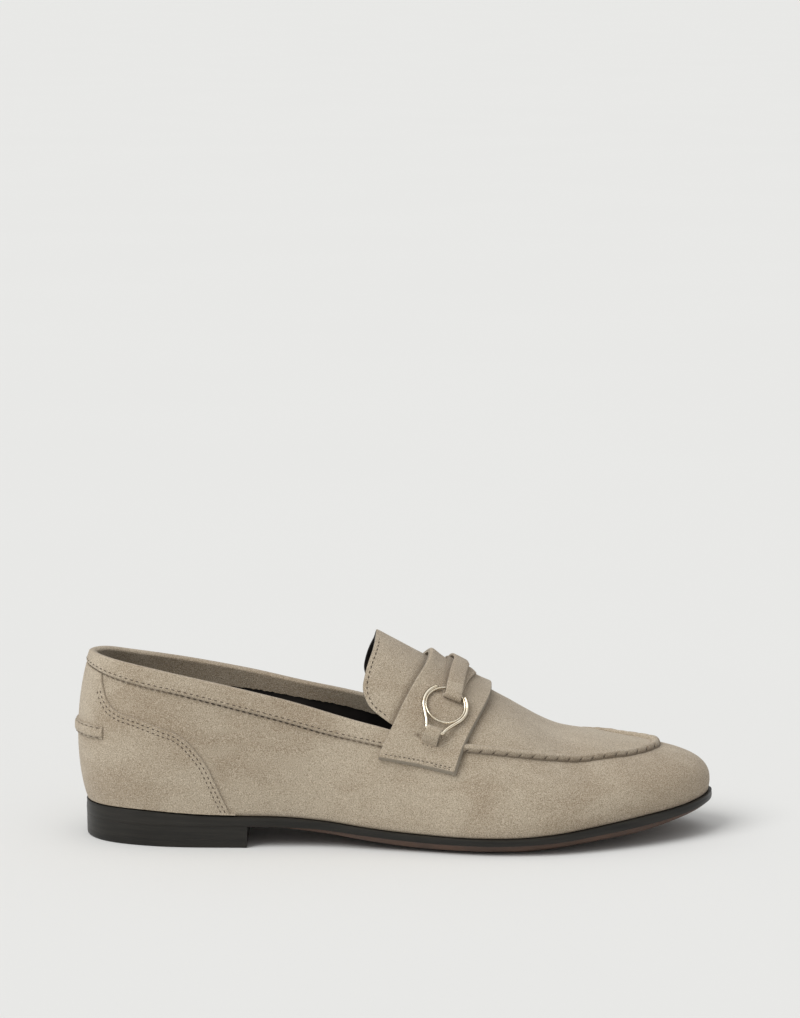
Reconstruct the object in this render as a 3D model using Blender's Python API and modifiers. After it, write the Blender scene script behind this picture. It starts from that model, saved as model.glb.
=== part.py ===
# Bit loafer, right shoe: a hollow suede upper on a thin leather sole with a low stacked heel.
# Metres. In the shoe's own frame x runs from the back of the heel to the toe, y to the medial side, z up from
# the floor. An empty then shifts it, so that the world's origin is the middle of the heel's underside.
import math

import bmesh
import bpy
import numpy as np

# Overall sizes
SOLE_LENGTH = 0.296
BALL_WIDTH = 0.0985
BACK_HEIGHT = 0.0890
INSTEP_HEIGHT = 0.0960
SOLE_EDGE_HEIGHT = 0.0170
HEEL_HEIGHT = 0.0099

# Thicknesses
UPPER_WALL = 0.0018
INSOLE_THICKNESS = 0.0025
TONGUE_THICKNESS = 0.0020
COUNTER_THICKNESS = 0.0011
BAND_THICKNESS = 0.0013
HEEL_TAB_THICKNESS = 0.0014
HEEL_TAB_WIDTH = 0.0068
HEEL_TAB_REACH = 0.0125
SEAM_HEIGHT = 0.0015
SEAM_WIDTH = 0.0040
SADDLE_THICKNESS = 0.0024
TAB_THICKNESS = 0.0046

# Bit
RING_RADIUS = 0.0092
RING_WIRE = 0.00070
SIDE_WIRE = 0.00080
SIDE_RADIUS = 0.0103
SIDE_START_DEG = 53
SIDE_END_DEG = -28
LEG_PULL = 0.0030
LEG_FLARE = 0.0006
BAR_DROP = 0.0141
BAR_LENGTH = 0.0086
RING_LIFT = 0.0027
BAR_LIFT = 0.0035

# Tab folded round the bar
TAB_WIDTH = 0.0062
TAB_LENGTH = 0.0085
TAB_FOLD = 0.0006
TAB_TAPER = 0.65

# Bit strap: a narrow layer folded round the ring, on an under layer that is wider over the crest
STRAP_WIDTH = 0.0079
STRAP_THICKNESS = 0.0042
STRAP_OVER_CREST = 0.0031
STRAP_FOLD = 0.0049
STRAP_ASIDE = 0.0013
UNDER_THICKNESS = 0.0012
UNDER_BACK = 0.0014
UNDER_FRONT = 0.0050
UNDER_AT_RING = 0.10

# Gaps and margins
CLEARANCE = 0.0003
FEATHER_INSET = 0.0018
OVERLAY_FOOT_RISE = 0.006
SADDLE_LIFT = 0.0005
SADDLE_MARGIN = 0.0005
BEVEL_INSET = 0.0025
TREAD_INSET = 0.0090

# Places along the sole, in shares of its length
HEEL_END = 0.260
CREST_START = 0.115
CREST_END = 0.885
THROAT = 0.4983

# Height of the heel tab's middle, in shares of the back's height
HEEL_TAB_PLACE = 0.59

# How steeply the rim turns up at the throat
THROAT_SLOPE = 2.0

# How fine the curved pieces are
WAYS = 37
RISES = 11

LATERAL = -1
MEDIAL = 1

# Columns: share of the sole's length, lateral edge and medial edge in shares of the ball width
SOLE_PLAN = (
    (0.000, 0.000, 0.000),
    (0.040, -0.205, 0.205),
    (0.135, -0.303, 0.303),
    (0.255, -0.321, 0.312),
    (0.375, -0.326, 0.262),
    (0.505, -0.405, 0.325),
    (0.640, -0.481, 0.470),
    (0.740, -0.467, 0.506),
    (0.845, -0.362, 0.438),
    (0.930, -0.222, 0.318),
    (1.000, 0.081, 0.081),
)

# Columns: share of the sole's length, then heights in shares of the edge's height at the heel: top of the edge,
# foot of the edge, foot of the bevel below it, tread in the middle
SOLE_SIDE = (
    (0.000, 1.000, 0.600, 0.600, 0.600),
    (0.090, 0.985, 0.600, 0.600, 0.600),
    (0.200, 0.885, 0.600, 0.600, 0.600),
    (0.262, 0.862, 0.600, 0.600, 0.600),
    (0.300, 0.850, 0.585, 0.560, 0.540),
    (0.375, 0.750, 0.520, 0.410, 0.350),
    (0.450, 0.595, 0.390, 0.240, 0.140),
    (0.540, 0.490, 0.280, 0.130, 0.000),
    (0.620, 0.458, 0.260, 0.115, 0.000),
    (0.700, 0.490, 0.285, 0.160, 0.000),
    (0.740, 0.550, 0.330, 0.215, 0.060),
    (0.800, 0.675, 0.435, 0.300, 0.165),
    (0.880, 0.845, 0.580, 0.420, 0.350),
    (0.960, 1.000, 0.760, 0.660, 0.640),
    (1.000, 1.120, 0.880, 0.790, 0.770),
)

# Columns: share of the sole's length, crest's height in shares of the instep height, its lean to the medial side
# in shares of the ball width
CREST = (
    (0.115, 1.200, 0.00),
    (0.300, 1.130, 0.00),
    (0.400, 1.060, 0.02),
    (0.464, 1.000, 0.03),
    (0.530, 0.893, 0.04),
    (0.600, 0.774, 0.05),
    (0.660, 0.665, 0.06),
    (0.740, 0.528, 0.07),
    (0.800, 0.487, 0.08),
    (0.885, 0.443, 0.08),
    (0.960, 0.408, 0.08),
)

# Columns: share of the sole's length, then how far the wall stands out in shares of the ball width, how high it
# climbs before it turns in shares of the section's height, how far the top reaches out in shares of its half width
SECTION = (
    (0.000, 0.108, 0.30, 1.05),
    (0.040, 0.100, 0.31, 1.03),
    (0.130, 0.073, 0.33, 1.01),
    (0.260, 0.055, 0.36, 1.02),
    (0.380, 0.060, 0.36, 0.95),
    (0.500, 0.060, 0.36, 0.80),
    (0.640, 0.060, 0.40, 0.72),
    (0.750, 0.055, 0.45, 0.74),
    (0.850, 0.045, 0.47, 0.80),
    (0.930, 0.035, 0.49, 0.86),
    (1.000, 0.030, 0.50, 0.92),
)

# The collar's rim. Columns: share of the sole's length, height on the lateral and on the medial side in shares of
# the shoe's height there
RIM = (
    (0.000, 0.988, 0.988),
    (0.020, 0.982, 0.975),
    (0.068, 0.952, 0.927),
    (0.170, 0.874, 0.846),
    (0.310, 0.752, 0.741),
    (0.430, 0.634, 0.648),
    (0.498, 0.579, 0.579),
)

# Lower edge of the collar band. Columns: share of the sole's length, height in shares of the shoe's height there
BAND = (
    (0.000, 0.930),
    (0.040, 0.884),
    (0.088, 0.840),
    (0.154, 0.790),
    (0.240, 0.712),
    (0.310, 0.646),
    (0.375, 0.582),
    (0.498, 0.495),
)

# Upper edge of the counter, on the same columns
COUNTER = (
    (0.033, 0.860),
    (0.0375, 0.790),
    (0.045, 0.740),
    (0.059, 0.702),
    (0.083, 0.676),
    (0.106, 0.648),
    (0.130, 0.619),
    (0.152, 0.590),
    (0.168, 0.550),
    (0.184, 0.490),
    (0.198, 0.425),
    (0.209, 0.348),
    (0.220, 0.268),
    (0.236, 0.150),
)

# Middle line of the raised seam round the toe. Columns: way along the foot, rise over the last
SEAM = (
    (0.560, 0.462),
    (0.605, 0.503),
    (0.643, 0.541),
    (0.682, 0.597),
    (0.726, 0.636),
    (0.765, 0.668),
    (0.822, 0.736),
    (0.898, 0.838),
    (0.950, 0.895),
    (1.000, 0.922),
)

# Outlines seen from the side. Columns: share of the sole's length, share of the instep height
TONGUE_EDGE = (
    (0.4655, 1.080),
    (0.4580, 0.949),
    (0.4515, 0.902),
    (0.4445, 0.832),
    (0.4420, 0.785),
    (0.4460, 0.731),
    (0.4555, 0.686),
    (0.4720, 0.647),
    (0.4875, 0.615),
    (0.4990, 0.597),
)
SADDLE_EDGE = (
    (0.5580, 1.000),
    (0.5473, 0.901),
    (0.5233, 0.811),
    (0.5060, 0.727),
    (0.4900, 0.630),
    (0.4726, 0.524),
    (0.4652, 0.457),
    (0.5233, 0.432),
    (0.5855, 0.394),
    (0.6024, 0.534),
    (0.6250, 0.644),
    (0.6432, 0.708),
    (0.6520, 0.735),
    (0.6850, 0.850),
)
TONGUE_CUT_TOP = 1.15

# Sheets on the last that those outlines are cut from. Columns: first way, last way, lowest rise
TONGUE_SHEET = (0.43, 0.61, 0.40)
SADDLE_SHEET = (0.44, 0.66, 0.22)

# Middle line of the bit strap. Columns: rise over the last, way along the foot
STRAP_MIDDLE = (
    (0.600, 0.5500),
    (0.662, 0.5530),
    (0.741, 0.5565),
    (0.812, 0.5605),
    (1.000, 0.5742),
)

# Places on the last. Columns: way along the foot, rise over the last
RING_TOP = (0.556, 0.741)
BAR_MIDDLE = (0.535, 0.497)


def clear_scene():
    for thing in list(bpy.data.objects):
        bpy.data.objects.remove(thing, do_unlink=True)


def collection(name):
    made = bpy.data.collections.new(name)
    bpy.context.scene.collection.children.link(made)
    return made


def material(name, color, roughness, metallic=0.0):
    made = bpy.data.materials.new(name)
    made.use_nodes = True
    shader = made.node_tree.nodes["Principled BSDF"]
    shader.inputs["Base Color"].default_value = (*color, 1.0)
    shader.inputs["Roughness"].default_value = roughness
    shader.inputs["Metallic"].default_value = metallic
    return made


def add_object(name, mesh, group, surface=None):
    made = bpy.data.objects.new(name, mesh)
    group.objects.link(made)
    if surface:
        mesh.materials.append(surface)
    return made


def read(table, column, at):
    """A column's value at a share, on a smooth curve through the table's rows."""
    rows = np.array(table)
    knots = rows[:, 0]
    values = rows[:, column]
    slopes = np.gradient(values, knots)
    at = np.clip(at, knots[0], knots[-1])
    after = np.clip(np.searchsorted(knots, at, side="right"), 1, len(knots) - 1)
    width = knots[after] - knots[after - 1]
    s = (at - knots[after - 1]) / width
    level = values[after - 1] * (1 + 2 * s) * (1 - s) ** 2 + values[after] * s**2 * (3 - 2 * s)
    bend = slopes[after - 1] * s * (1 - s) ** 2 - slopes[after] * s**2 * (1 - s)
    return level + width * bend


def share_of_way(way):
    """A way from heel (0) to toe (1) is spaced like a half turn, so that both ends come out round."""
    return (1 - np.cos(math.pi * way)) / 2


def way_of(along):
    """Way at a share of the sole's length."""
    return np.arccos(1 - 2 * along) / math.pi


def edge_line(way, side):
    column = 1 if side == LATERAL else 2
    turned = [(way_of(row[0]), row[column]) for row in SOLE_PLAN]
    return SOLE_LENGTH * share_of_way(way), BALL_WIDTH * read(turned, 1, way)


def sole_edge(way, side, inset=0.0):
    """Plan points of the sole's edge on one side, moved into the sole by the inset."""
    way = np.asarray(way, float)
    step = 1e-3
    x, y = edge_line(way, side)
    x0, y0 = edge_line(np.clip(way - step, 0, 1), side)
    x1, y1 = edge_line(np.clip(way + step, 0, 1), side)
    size = np.hypot(x1 - x0, y1 - y0)
    at_end = (way < step) | (way > 1 - step)
    inward_x = np.where(at_end, np.where(way < 0.5, 1.0, -1.0), side * (y1 - y0) / size)
    inward_y = np.where(at_end, 0.0, -side * (x1 - x0) / size)
    return x + inset * inward_x, y + inset * inward_y


def sole_height(x, column):
    return SOLE_EDGE_HEIGHT * np.maximum(read(SOLE_SIDE, column, x / SOLE_LENGTH), 0.0)


def sole_top(x):
    return sole_height(x, 1)


def shoe_height(x):
    """Height that the side tables follow: the back's at the heel, the instep's from the tongue on."""
    blend = np.clip(x / (CREST[3][0] * SOLE_LENGTH), 0, 1)
    return BACK_HEIGHT + (INSTEP_HEIGHT - BACK_HEIGHT) * blend


def crest(share):
    along = CREST_START + (CREST_END - CREST_START) * share
    return SOLE_LENGTH * along, BALL_WIDTH * read(CREST, 2, along), INSTEP_HEIGHT * read(CREST, 1, along)


def last_surface(way, rise, side):
    """The closed last. Each way holds one cubic curve, from the sole's edge (rise 0) to the crest (rise 1)."""
    share = share_of_way(way)
    foot_x, foot_y = sole_edge(way, side, FEATHER_INSET)
    foot_z = sole_top(foot_x) + CLEARANCE
    top_x, top_y, top_z = crest(share)
    step = 1e-4
    slope = (crest(share + step)[2] - crest(share - step)[2]) / (crest(share + step)[0] - crest(share - step)[0])
    half = np.hypot(foot_x - top_x, foot_y - top_y)
    out_x = (foot_x - top_x) / half
    out_y = (foot_y - top_y) / half
    bulge = BALL_WIDTH * read(SECTION, 1, share)
    climb = (top_z - foot_z) * read(SECTION, 2, share)
    reach = half * read(SECTION, 3, share)
    foot = np.stack([foot_x, foot_y, foot_z], -1)
    wall = np.stack([foot_x + bulge * out_x, foot_y + bulge * out_y, foot_z + climb], -1)
    shoulder = np.stack([top_x + reach * out_x, top_y + reach * out_y, top_z + slope * reach * out_x], -1)
    top = np.stack([top_x, top_y, top_z], -1)
    r = rise[..., None]
    return (1 - r) ** 3 * foot + 3 * (1 - r) ** 2 * r * wall + 3 * (1 - r) * r**2 * shoulder + r**3 * top


def last(way, rise, side, out=0.0):
    """Points of the last's surface, moved out along its normal."""
    way, rise, out = np.broadcast_arrays(*(np.asarray(v, float) for v in (way, rise, out)))
    step = 1e-3
    ahead = last_surface(np.clip(way + step, 0, 1), rise, side)
    behind = last_surface(np.clip(way - step, 0, 1), rise, side)
    above = last_surface(way, np.clip(rise + step, 0, 1), side)
    below = last_surface(way, np.clip(rise - step, 0, 1), side)
    normal = -side * np.cross(ahead - behind, above - below)
    normal /= np.linalg.norm(normal, axis=-1, keepdims=True)
    return last_surface(way, rise, side) + out[..., None] * normal


def rim_line(x, side):
    """Height of the collar's rim, which turns up at the throat."""
    level = shoe_height(x) * read(RIM, 1 if side == LATERAL else 2, x / SOLE_LENGTH)
    return level + THROAT_SLOPE * np.maximum(x - THROAT * SOLE_LENGTH, 0.0)


def band_line(x, side):
    return shoe_height(x) * read(BAND, 1, x / SOLE_LENGTH)


def counter_line(x, side):
    under_band = band_line(x, side) - CLEARANCE
    curve = shoe_height(x) * read(COUNTER, 1, x / SOLE_LENGTH)
    return np.where(x < COUNTER[0][0] * SOLE_LENGTH, under_band, np.minimum(under_band, curve))


def heel_tab_foot(x, side):
    return HEEL_TAB_PLACE * BACK_HEIGHT - HEEL_TAB_WIDTH / 2


def heel_tab_head(x, side):
    return HEEL_TAB_PLACE * BACK_HEIGHT + HEEL_TAB_WIDTH / 2


def rise_to(line, way, side):
    """Rise at which each way meets a line drawn on the shoe's side. It is 1 where the way ends below the line."""
    way = np.asarray(way, float)
    low = np.zeros_like(way)
    high = np.ones_like(way)
    for _ in range(40):
        middle = (low + high) / 2
        point = last_surface(way, middle, side)
        under = point[..., 2] < line(point[..., 0], side)
        low = np.where(under, middle, low)
        high = np.where(under, high, middle)
    return np.where(high > 1 - 1e-6, 1.0, high)


def grid_mesh(name, points, closed_round=False):
    """Open surface of quads through a grid of points, welded where rows or columns run together."""
    mesh = bpy.data.meshes.new(name)
    bm = bmesh.new()
    grid = [[bm.verts.new(point) for point in row] for row in points]
    pairs = list(zip(grid, grid[1:]))
    if closed_round:
        pairs.append((grid[-1], grid[0]))
    for row, after in pairs:
        for i in range(len(row) - 1):
            bm.faces.new((row[i], after[i], after[i + 1], row[i + 1]))
    bmesh.ops.remove_doubles(bm, verts=bm.verts, dist=1e-6)
    bm.to_mesh(mesh)
    bm.free()
    return mesh


def thicken(thing, thickness):
    """Gives an open surface its thickness: outward where it is positive, inward where it is negative."""
    solidify = thing.modifiers.new("Thickness", "SOLIDIFY")
    solidify.thickness = abs(thickness)
    solidify.offset = math.copysign(1.0, thickness)
    solidify.use_even_offset = False
    return thing


def ring_solid(name, rings):
    """Solid through rings of points that go once round, its first and last ring closed by faces from side to side."""
    mesh = bpy.data.meshes.new(name)
    bm = bmesh.new()
    made = [[bm.verts.new(point) for point in ring] for ring in rings]
    count = len(made[0])
    for upper, lower in zip(made, made[1:]):
        for i in range(count):
            j = (i + 1) % count
            bm.faces.new((upper[i], lower[i], lower[j], upper[j]))
    for ring in (made[0], made[-1]):
        for i in range(count // 2 - 1):
            bm.faces.new((ring[i], ring[i + 1], ring[-i - 2], ring[-i - 1]))
    bmesh.ops.remove_doubles(bm, verts=bm.verts, dist=1e-6)
    bmesh.ops.recalc_face_normals(bm, faces=bm.faces)
    bm.to_mesh(mesh)
    bm.free()
    return mesh


def slab_mesh(name, low, high):
    """Solid between two grids of points of the same size."""
    mesh = bpy.data.meshes.new(name)
    bm = bmesh.new()
    bottom = [[bm.verts.new(point) for point in row] for row in low]
    top = [[bm.verts.new(point) for point in row] for row in high]
    rows = len(bottom)
    columns = len(bottom[0])
    for grid in (bottom, top):
        for i in range(rows - 1):
            for j in range(columns - 1):
                bm.faces.new((grid[i][j], grid[i + 1][j], grid[i + 1][j + 1], grid[i][j + 1]))
    border = [(i, 0) for i in range(rows)]
    border += [(rows - 1, j) for j in range(1, columns)]
    border += [(i, columns - 1) for i in range(rows - 2, -1, -1)]
    border += [(0, j) for j in range(columns - 2, 0, -1)]
    for (i, j), (k, m) in zip(border, border[1:] + border[:1]):
        bm.faces.new((bottom[i][j], bottom[k][m], top[k][m], top[i][j]))
    bmesh.ops.recalc_face_normals(bm, faces=bm.faces)
    bm.to_mesh(mesh)
    bm.free()
    return mesh


def side_prism(name, table, group, shift=0.0):
    """Cutter with a table's outline, as seen from the side, right across the shoe."""
    half_width = BALL_WIDTH
    corners = [(along * SOLE_LENGTH + shift, up * INSTEP_HEIGHT) for along, up in table]
    mesh = bpy.data.meshes.new(name)
    bm = bmesh.new()
    near = [bm.verts.new((x, -half_width, z)) for x, z in corners]
    far = [bm.verts.new((x, half_width, z)) for x, z in corners]
    bm.faces.new(near)
    bm.faces.new(far[::-1])
    for i in range(len(near)):
        j = (i + 1) % len(near)
        bm.faces.new((near[j], near[i], far[i], far[j]))
    bmesh.ops.recalc_face_normals(bm, faces=bm.faces)
    bm.to_mesh(mesh)
    bm.free()
    return hide(add_object(name, mesh, group))


def hide(cutter):
    cutter.hide_render = True
    cutter.display_type = "WIRE"
    return cutter


def cut(thing, other, operation):
    boolean = thing.modifiers.new(other.name, "BOOLEAN")
    boolean.operation = operation
    boolean.object = other
    boolean.solver = "EXACT"


def around(ways, point):
    """A ring of points: up the lateral side from the first way to the last, and back down the medial side."""
    return [point(way, LATERAL) for way in ways] + [point(way, MEDIAL) for way in ways[::-1]]


def over_crest(ways, low_rise, out, count):
    """Grid of points over the crest, from a rise on the lateral side to the same rise on the medial side."""
    rises = np.linspace(low_rise, 1.0, count)
    grid = []
    for way in ways:
        near = last(way, rises, LATERAL, out)
        far = last(way, rises[::-1], MEDIAL, out)
        grid.append(list(near) + list(far[1:]))
    return grid


def build_outsole(group):
    breast = way_of(HEEL_END)
    ways = np.sort(np.append(np.linspace(0, 1, WAYS + 1), [breast, breast + 0.004]))
    levels = ((0.0, 1), (0.0, 2), (BEVEL_INSET, 3), (TREAD_INSET, 4))
    rings = []
    for inset, column in levels:

        def point(way, side):
            x, y = sole_edge(way, side, inset)
            return float(x), float(y), float(sole_height(edge_line(way, side)[0], column))

        rings.append(around(ways, point))
    leather = material("edge_leather", (0.030, 0.026, 0.021), 0.35)
    return add_object("outsole", ring_solid("outsole", rings), group, leather)


def build_heel(group):
    ways = np.linspace(0, way_of(HEEL_END), 20)
    rings = []
    for level in (HEEL_HEIGHT, 0.0):

        def point(way, side):
            x, y = sole_edge(way, side)
            return float(x), float(y), level

        rings.append(around(ways, point))
    stack = material("heel_stack", (0.028, 0.025, 0.021), 0.32)
    return add_object("heel", ring_solid("heel", rings), group, stack)


def build_insole(group):
    inset = FEATHER_INSET + UPPER_WALL + 2 * CLEARANCE
    ways = np.linspace(0, 1, WAYS + 1)
    rings = []
    for lift in (CLEARANCE + INSOLE_THICKNESS, CLEARANCE):

        def point(way, side):
            x, y = sole_edge(way, side, inset)
            return float(x), float(y), float(sole_top(edge_line(way, side)[0])) + lift

        rings.append(around(ways, point))
    lining = material("lining_leather", (0.030, 0.026, 0.022), 0.6)
    return add_object("insole", ring_solid("insole", rings), group, lining)


def shell_columns(ways, bottom, top, out, count):
    """Columns of points round the shoe, each between two lines, on the last moved out."""
    columns = []
    for side, order in ((LATERAL, ways), (MEDIAL, ways[-2:0:-1])):
        for way in order:
            low = rise_to(bottom, way, side) if bottom else 0.0
            high = rise_to(top, way, side)
            columns.append(last(way, np.linspace(low, high, count), side, out))
    return columns


def build_upper(group, suede):
    throat = way_of(THROAT)
    ways = np.sort(np.append(np.linspace(0, 1, WAYS + 1), np.linspace(throat, throat + 0.045, 6)))
    columns = shell_columns(ways, None, rim_line, 0.0, RISES + 1)
    mesh = grid_mesh("upper", columns, closed_round=True)
    return thicken(add_object("upper", mesh, group, suede), -UPPER_WALL)


def build_overlay(name, group, suede, ways, bottom, top, thickness, count):
    """Panel laid on the upper between two lines, on ways that start at the heel."""
    columns = []
    for side, order in ((MEDIAL, ways[::-1]), (LATERAL, ways[1:])):
        for way in order:
            low = rise_to(bottom, way, side) if bottom else OVERLAY_FOOT_RISE
            high = rise_to(top, way, side)
            rises = np.linspace(low, max(high, low + 1e-3), count)
            columns.append(last(way, rises, side, CLEARANCE))
    mesh = grid_mesh(name, columns)
    return thicken(add_object(name, mesh, group, suede), thickness)


def build_counter(group, suede):
    end = way_of(COUNTER[-1][0])
    ways = np.linspace(0, end - 0.004, 18)
    return build_overlay("counter", group, suede, ways, None, counter_line, COUNTER_THICKNESS, 7)


def build_collar_band(group, suede, cutters):
    ways = np.linspace(0, way_of(THROAT), 21)
    band = build_overlay("collar_band", group, suede, ways, band_line, rim_line, BAND_THICKNESS, 3)
    cut(band, side_prism("band_end_cutter", SADDLE_EDGE, cutters, -SADDLE_MARGIN), "DIFFERENCE")
    return band


def build_heel_tab(group, suede):
    """Narrow strap laid flat across the back of the counter."""
    low_out = 2 * CLEARANCE + COUNTER_THICKNESS
    ways = np.linspace(0, way_of(HEEL_TAB_REACH / SOLE_LENGTH), 7)
    low = []
    high = []
    for side, order in ((MEDIAL, ways[::-1]), (LATERAL, ways[1:])):
        for way in order:
            foot = float(rise_to(heel_tab_foot, way, side))
            head = float(rise_to(heel_tab_head, way, side))
            rises = np.linspace(foot, head, 5)
            round_over = np.array([0.5, 0.9, 1.0, 0.9, 0.5])
            low.append(last(way, rises, side, low_out))
            high.append(last(way, rises, side, low_out + HEEL_TAB_THICKNESS * round_over))
    return add_object("heel_tab", slab_mesh("heel_tab", low, high), group, suede)


def build_seam(group, suede, cutters):
    """Raised seam where the plug is sewn to the walls, from one side of the saddle round the toe to the other."""
    ways = np.append(np.linspace(SEAM[0][0], 0.9, 18), [0.925, 0.95, 0.975, 1.0])
    round_over = np.array([0.4, 0.95, 0.95, 0.4])
    low = []
    high = []
    for side, order in ((LATERAL, ways), (MEDIAL, ways[-2::-1])):
        for way in order:
            middle = float(read(SEAM, 1, way))
            step = 0.01
            span = last(way, np.array([middle - step, middle + step]), side)
            half = step * SEAM_WIDTH / np.linalg.norm(span[1] - span[0])
            rises = np.linspace(middle - half, middle + half, 4)
            low.append(last(way, rises, side, CLEARANCE))
            high.append(last(way, rises, side, CLEARANCE + SEAM_HEIGHT * round_over))
    seam = add_object("moc_seam", slab_mesh("moc_seam", low, high), group, suede)
    cut(seam, side_prism("seam_end_cutter", SADDLE_EDGE, cutters, SADDLE_MARGIN), "DIFFERENCE")
    return seam


def build_tongue(group, suede, cutters):
    first, final, low_rise = TONGUE_SHEET
    mesh = grid_mesh("tongue", over_crest(np.linspace(first, final, 13), low_rise, 0.0, 12))
    tongue = thicken(add_object("tongue", mesh, group, suede), -TONGUE_THICKNESS)
    gap = CLEARANCE * math.hypot(1, THROAT_SLOPE) / THROAT_SLOPE
    low = TONGUE_EDGE[-1][1]
    over_rim = (low - RIM[-1][1]) * INSTEP_HEIGHT
    front_low = THROAT + (over_rim / THROAT_SLOPE - gap) / SOLE_LENGTH
    front_top = front_low + (TONGUE_CUT_TOP - low) * INSTEP_HEIGHT / THROAT_SLOPE / SOLE_LENGTH
    top = ((front_top, TONGUE_CUT_TOP), (TONGUE_EDGE[0][0], TONGUE_CUT_TOP))
    outline = TONGUE_EDGE[:-1] + ((front_low, low),) + top
    cut(tongue, side_prism("tongue_cutter", outline, cutters), "INTERSECT")
    return tongue


def build_saddle(group, suede, cutters):
    first, final, low_rise = SADDLE_SHEET
    mesh = grid_mesh("saddle_strap", over_crest(np.linspace(first, final, 15), low_rise, SADDLE_LIFT, 15))
    saddle = thicken(add_object("saddle_strap", mesh, group, suede), SADDLE_THICKNESS)
    cut(saddle, side_prism("saddle_cutter", SADDLE_EDGE, cutters), "INTERSECT")
    return saddle


def saddle_top():
    return SADDLE_LIFT + SADDLE_THICKNESS


def bit_frame(side):
    """Middle of the ring and its axes: along the foot, up towards the strap, and out from the saddle."""
    top = last(*RING_TOP, side, saddle_top() + RING_LIFT)
    bar = last(*BAR_MIDDLE, side, saddle_top() + BAR_LIFT)
    up = (top - bar) / np.linalg.norm(top - bar)
    between = (np.array(RING_TOP) + np.array(BAR_MIDDLE)) / 2
    outward = last(*between, side, 1.0) - last(*between, side)
    outward -= up * (outward @ up)
    outward /= np.linalg.norm(outward)
    return bar + BAR_DROP * up, side * np.cross(outward, up), up, outward


def in_bit_frame(side, a, b, c=0.0):
    middle, along, up, outward = bit_frame(side)
    return middle + a * along + b * up + c * outward


def on_last(side, start, a, b):
    """Way and rise of the saddle's top under a point in the bit's plane, found in steps from a place near it."""
    middle, along, up, outward = bit_frame(side)
    way, rise = start
    step = 1e-3
    for _ in range(3):
        per_way = last(way + step, rise, side, saddle_top()) - last(way - step, rise, side, saddle_top())
        per_rise = last(way, rise + step, side, saddle_top()) - last(way, rise - step, side, saddle_top())
        scale = np.array([[per_way @ along, per_rise @ along], [per_way @ up, per_rise @ up]]) / (2 * step)
        here = last(way, rise, side, saddle_top()) - middle
        d_way, d_rise = np.linalg.solve(scale, np.array([a - here @ along, b - here @ up]))
        way += d_way
        rise += d_rise
    return way, rise


def side_wire_path():
    """Route of the outer wire in the ring's plane: up each side of the ring and round the bar between the legs."""
    angles = np.radians(np.linspace(SIDE_START_DEG, SIDE_END_DEG, 10))
    arc = [(SIDE_RADIUS * math.cos(t), SIDE_RADIUS * math.sin(t)) for t in angles]
    leg_end = np.array((BAR_LENGTH / 2, -BAR_DROP))
    start = np.array(arc[-1])
    heading = np.array((math.sin(angles[-1]), -math.cos(angles[-1])))
    near = start + LEG_PULL * heading
    far = leg_end + np.array((LEG_FLARE, LEG_PULL))
    leg = []
    for t in np.linspace(0.2, 1.0, 5):
        leg.append((1 - t) ** 3 * start + 3 * (1 - t) ** 2 * t * near + 3 * (1 - t) * t**2 * far + t**3 * leg_end)
    half = arc + [tuple(p) for p in leg]
    return half + [(-a, b) for a, b in half[::-1]]


def wire(name, points, radius, group, closed_round=False):
    """A round wire through the points, as a mesh."""
    curve = bpy.data.curves.new(name, "CURVE")
    curve.dimensions = "3D"
    curve.bevel_depth = radius
    curve.bevel_resolution = 2
    curve.use_fill_caps = not closed_round
    spline = curve.splines.new("POLY")
    spline.points.add(len(points) - 1)
    for place, point in zip(spline.points, points):
        place.co = (*point, 1.0)
    spline.use_cyclic_u = closed_round
    guide = bpy.data.objects.new(name + "_guide", curve)
    group.objects.link(guide)
    bpy.context.view_layer.update()
    evaluated = guide.evaluated_get(bpy.context.evaluated_depsgraph_get())
    mesh = bpy.data.meshes.new_from_object(evaluated)
    bpy.data.objects.remove(guide, do_unlink=True)
    bm = bmesh.new()
    bm.from_mesh(mesh)
    bmesh.ops.remove_doubles(bm, verts=bm.verts, dist=1e-6)
    bmesh.ops.recalc_face_normals(bm, faces=bm.faces)
    bm.to_mesh(mesh)
    bm.free()
    mesh.materials.clear()
    return add_object(name, mesh, group)


def ring_points(side, count=28):
    turns = np.linspace(0, 2 * math.pi, count, endpoint=False)
    return [in_bit_frame(side, RING_RADIUS * math.cos(t), RING_RADIUS * math.sin(t)) for t in turns]


def build_ring(name, side, group, metal, cutters):
    ring = wire(name, ring_points(side), RING_WIRE, group, closed_round=True)
    ring.data.materials.append(metal)
    route = [in_bit_frame(side, a, b) for a, b in side_wire_path()]
    outer = hide(wire(name + "_side_wire", route, SIDE_WIRE, cutters))
    cut(ring, outer, "UNION")
    return ring


def strap_section(share):
    """Places across the strap and its thickness there, at a share of the way from the fold to the crest."""
    half = STRAP_WIDTH / 2
    step = half + CLEARANCE
    spread = UNDER_AT_RING + (1 - UNDER_AT_RING) * share
    thickness = STRAP_THICKNESS + (STRAP_OVER_CREST - STRAP_THICKNESS) * share
    return (
        (-step - UNDER_BACK * spread, UNDER_THICKNESS),
        (-step, UNDER_THICKNESS),
        (-half, thickness),
        (half, thickness),
        (step, UNDER_THICKNESS),
        (step + UNDER_FRONT * spread, UNDER_THICKNESS),
    )


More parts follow.
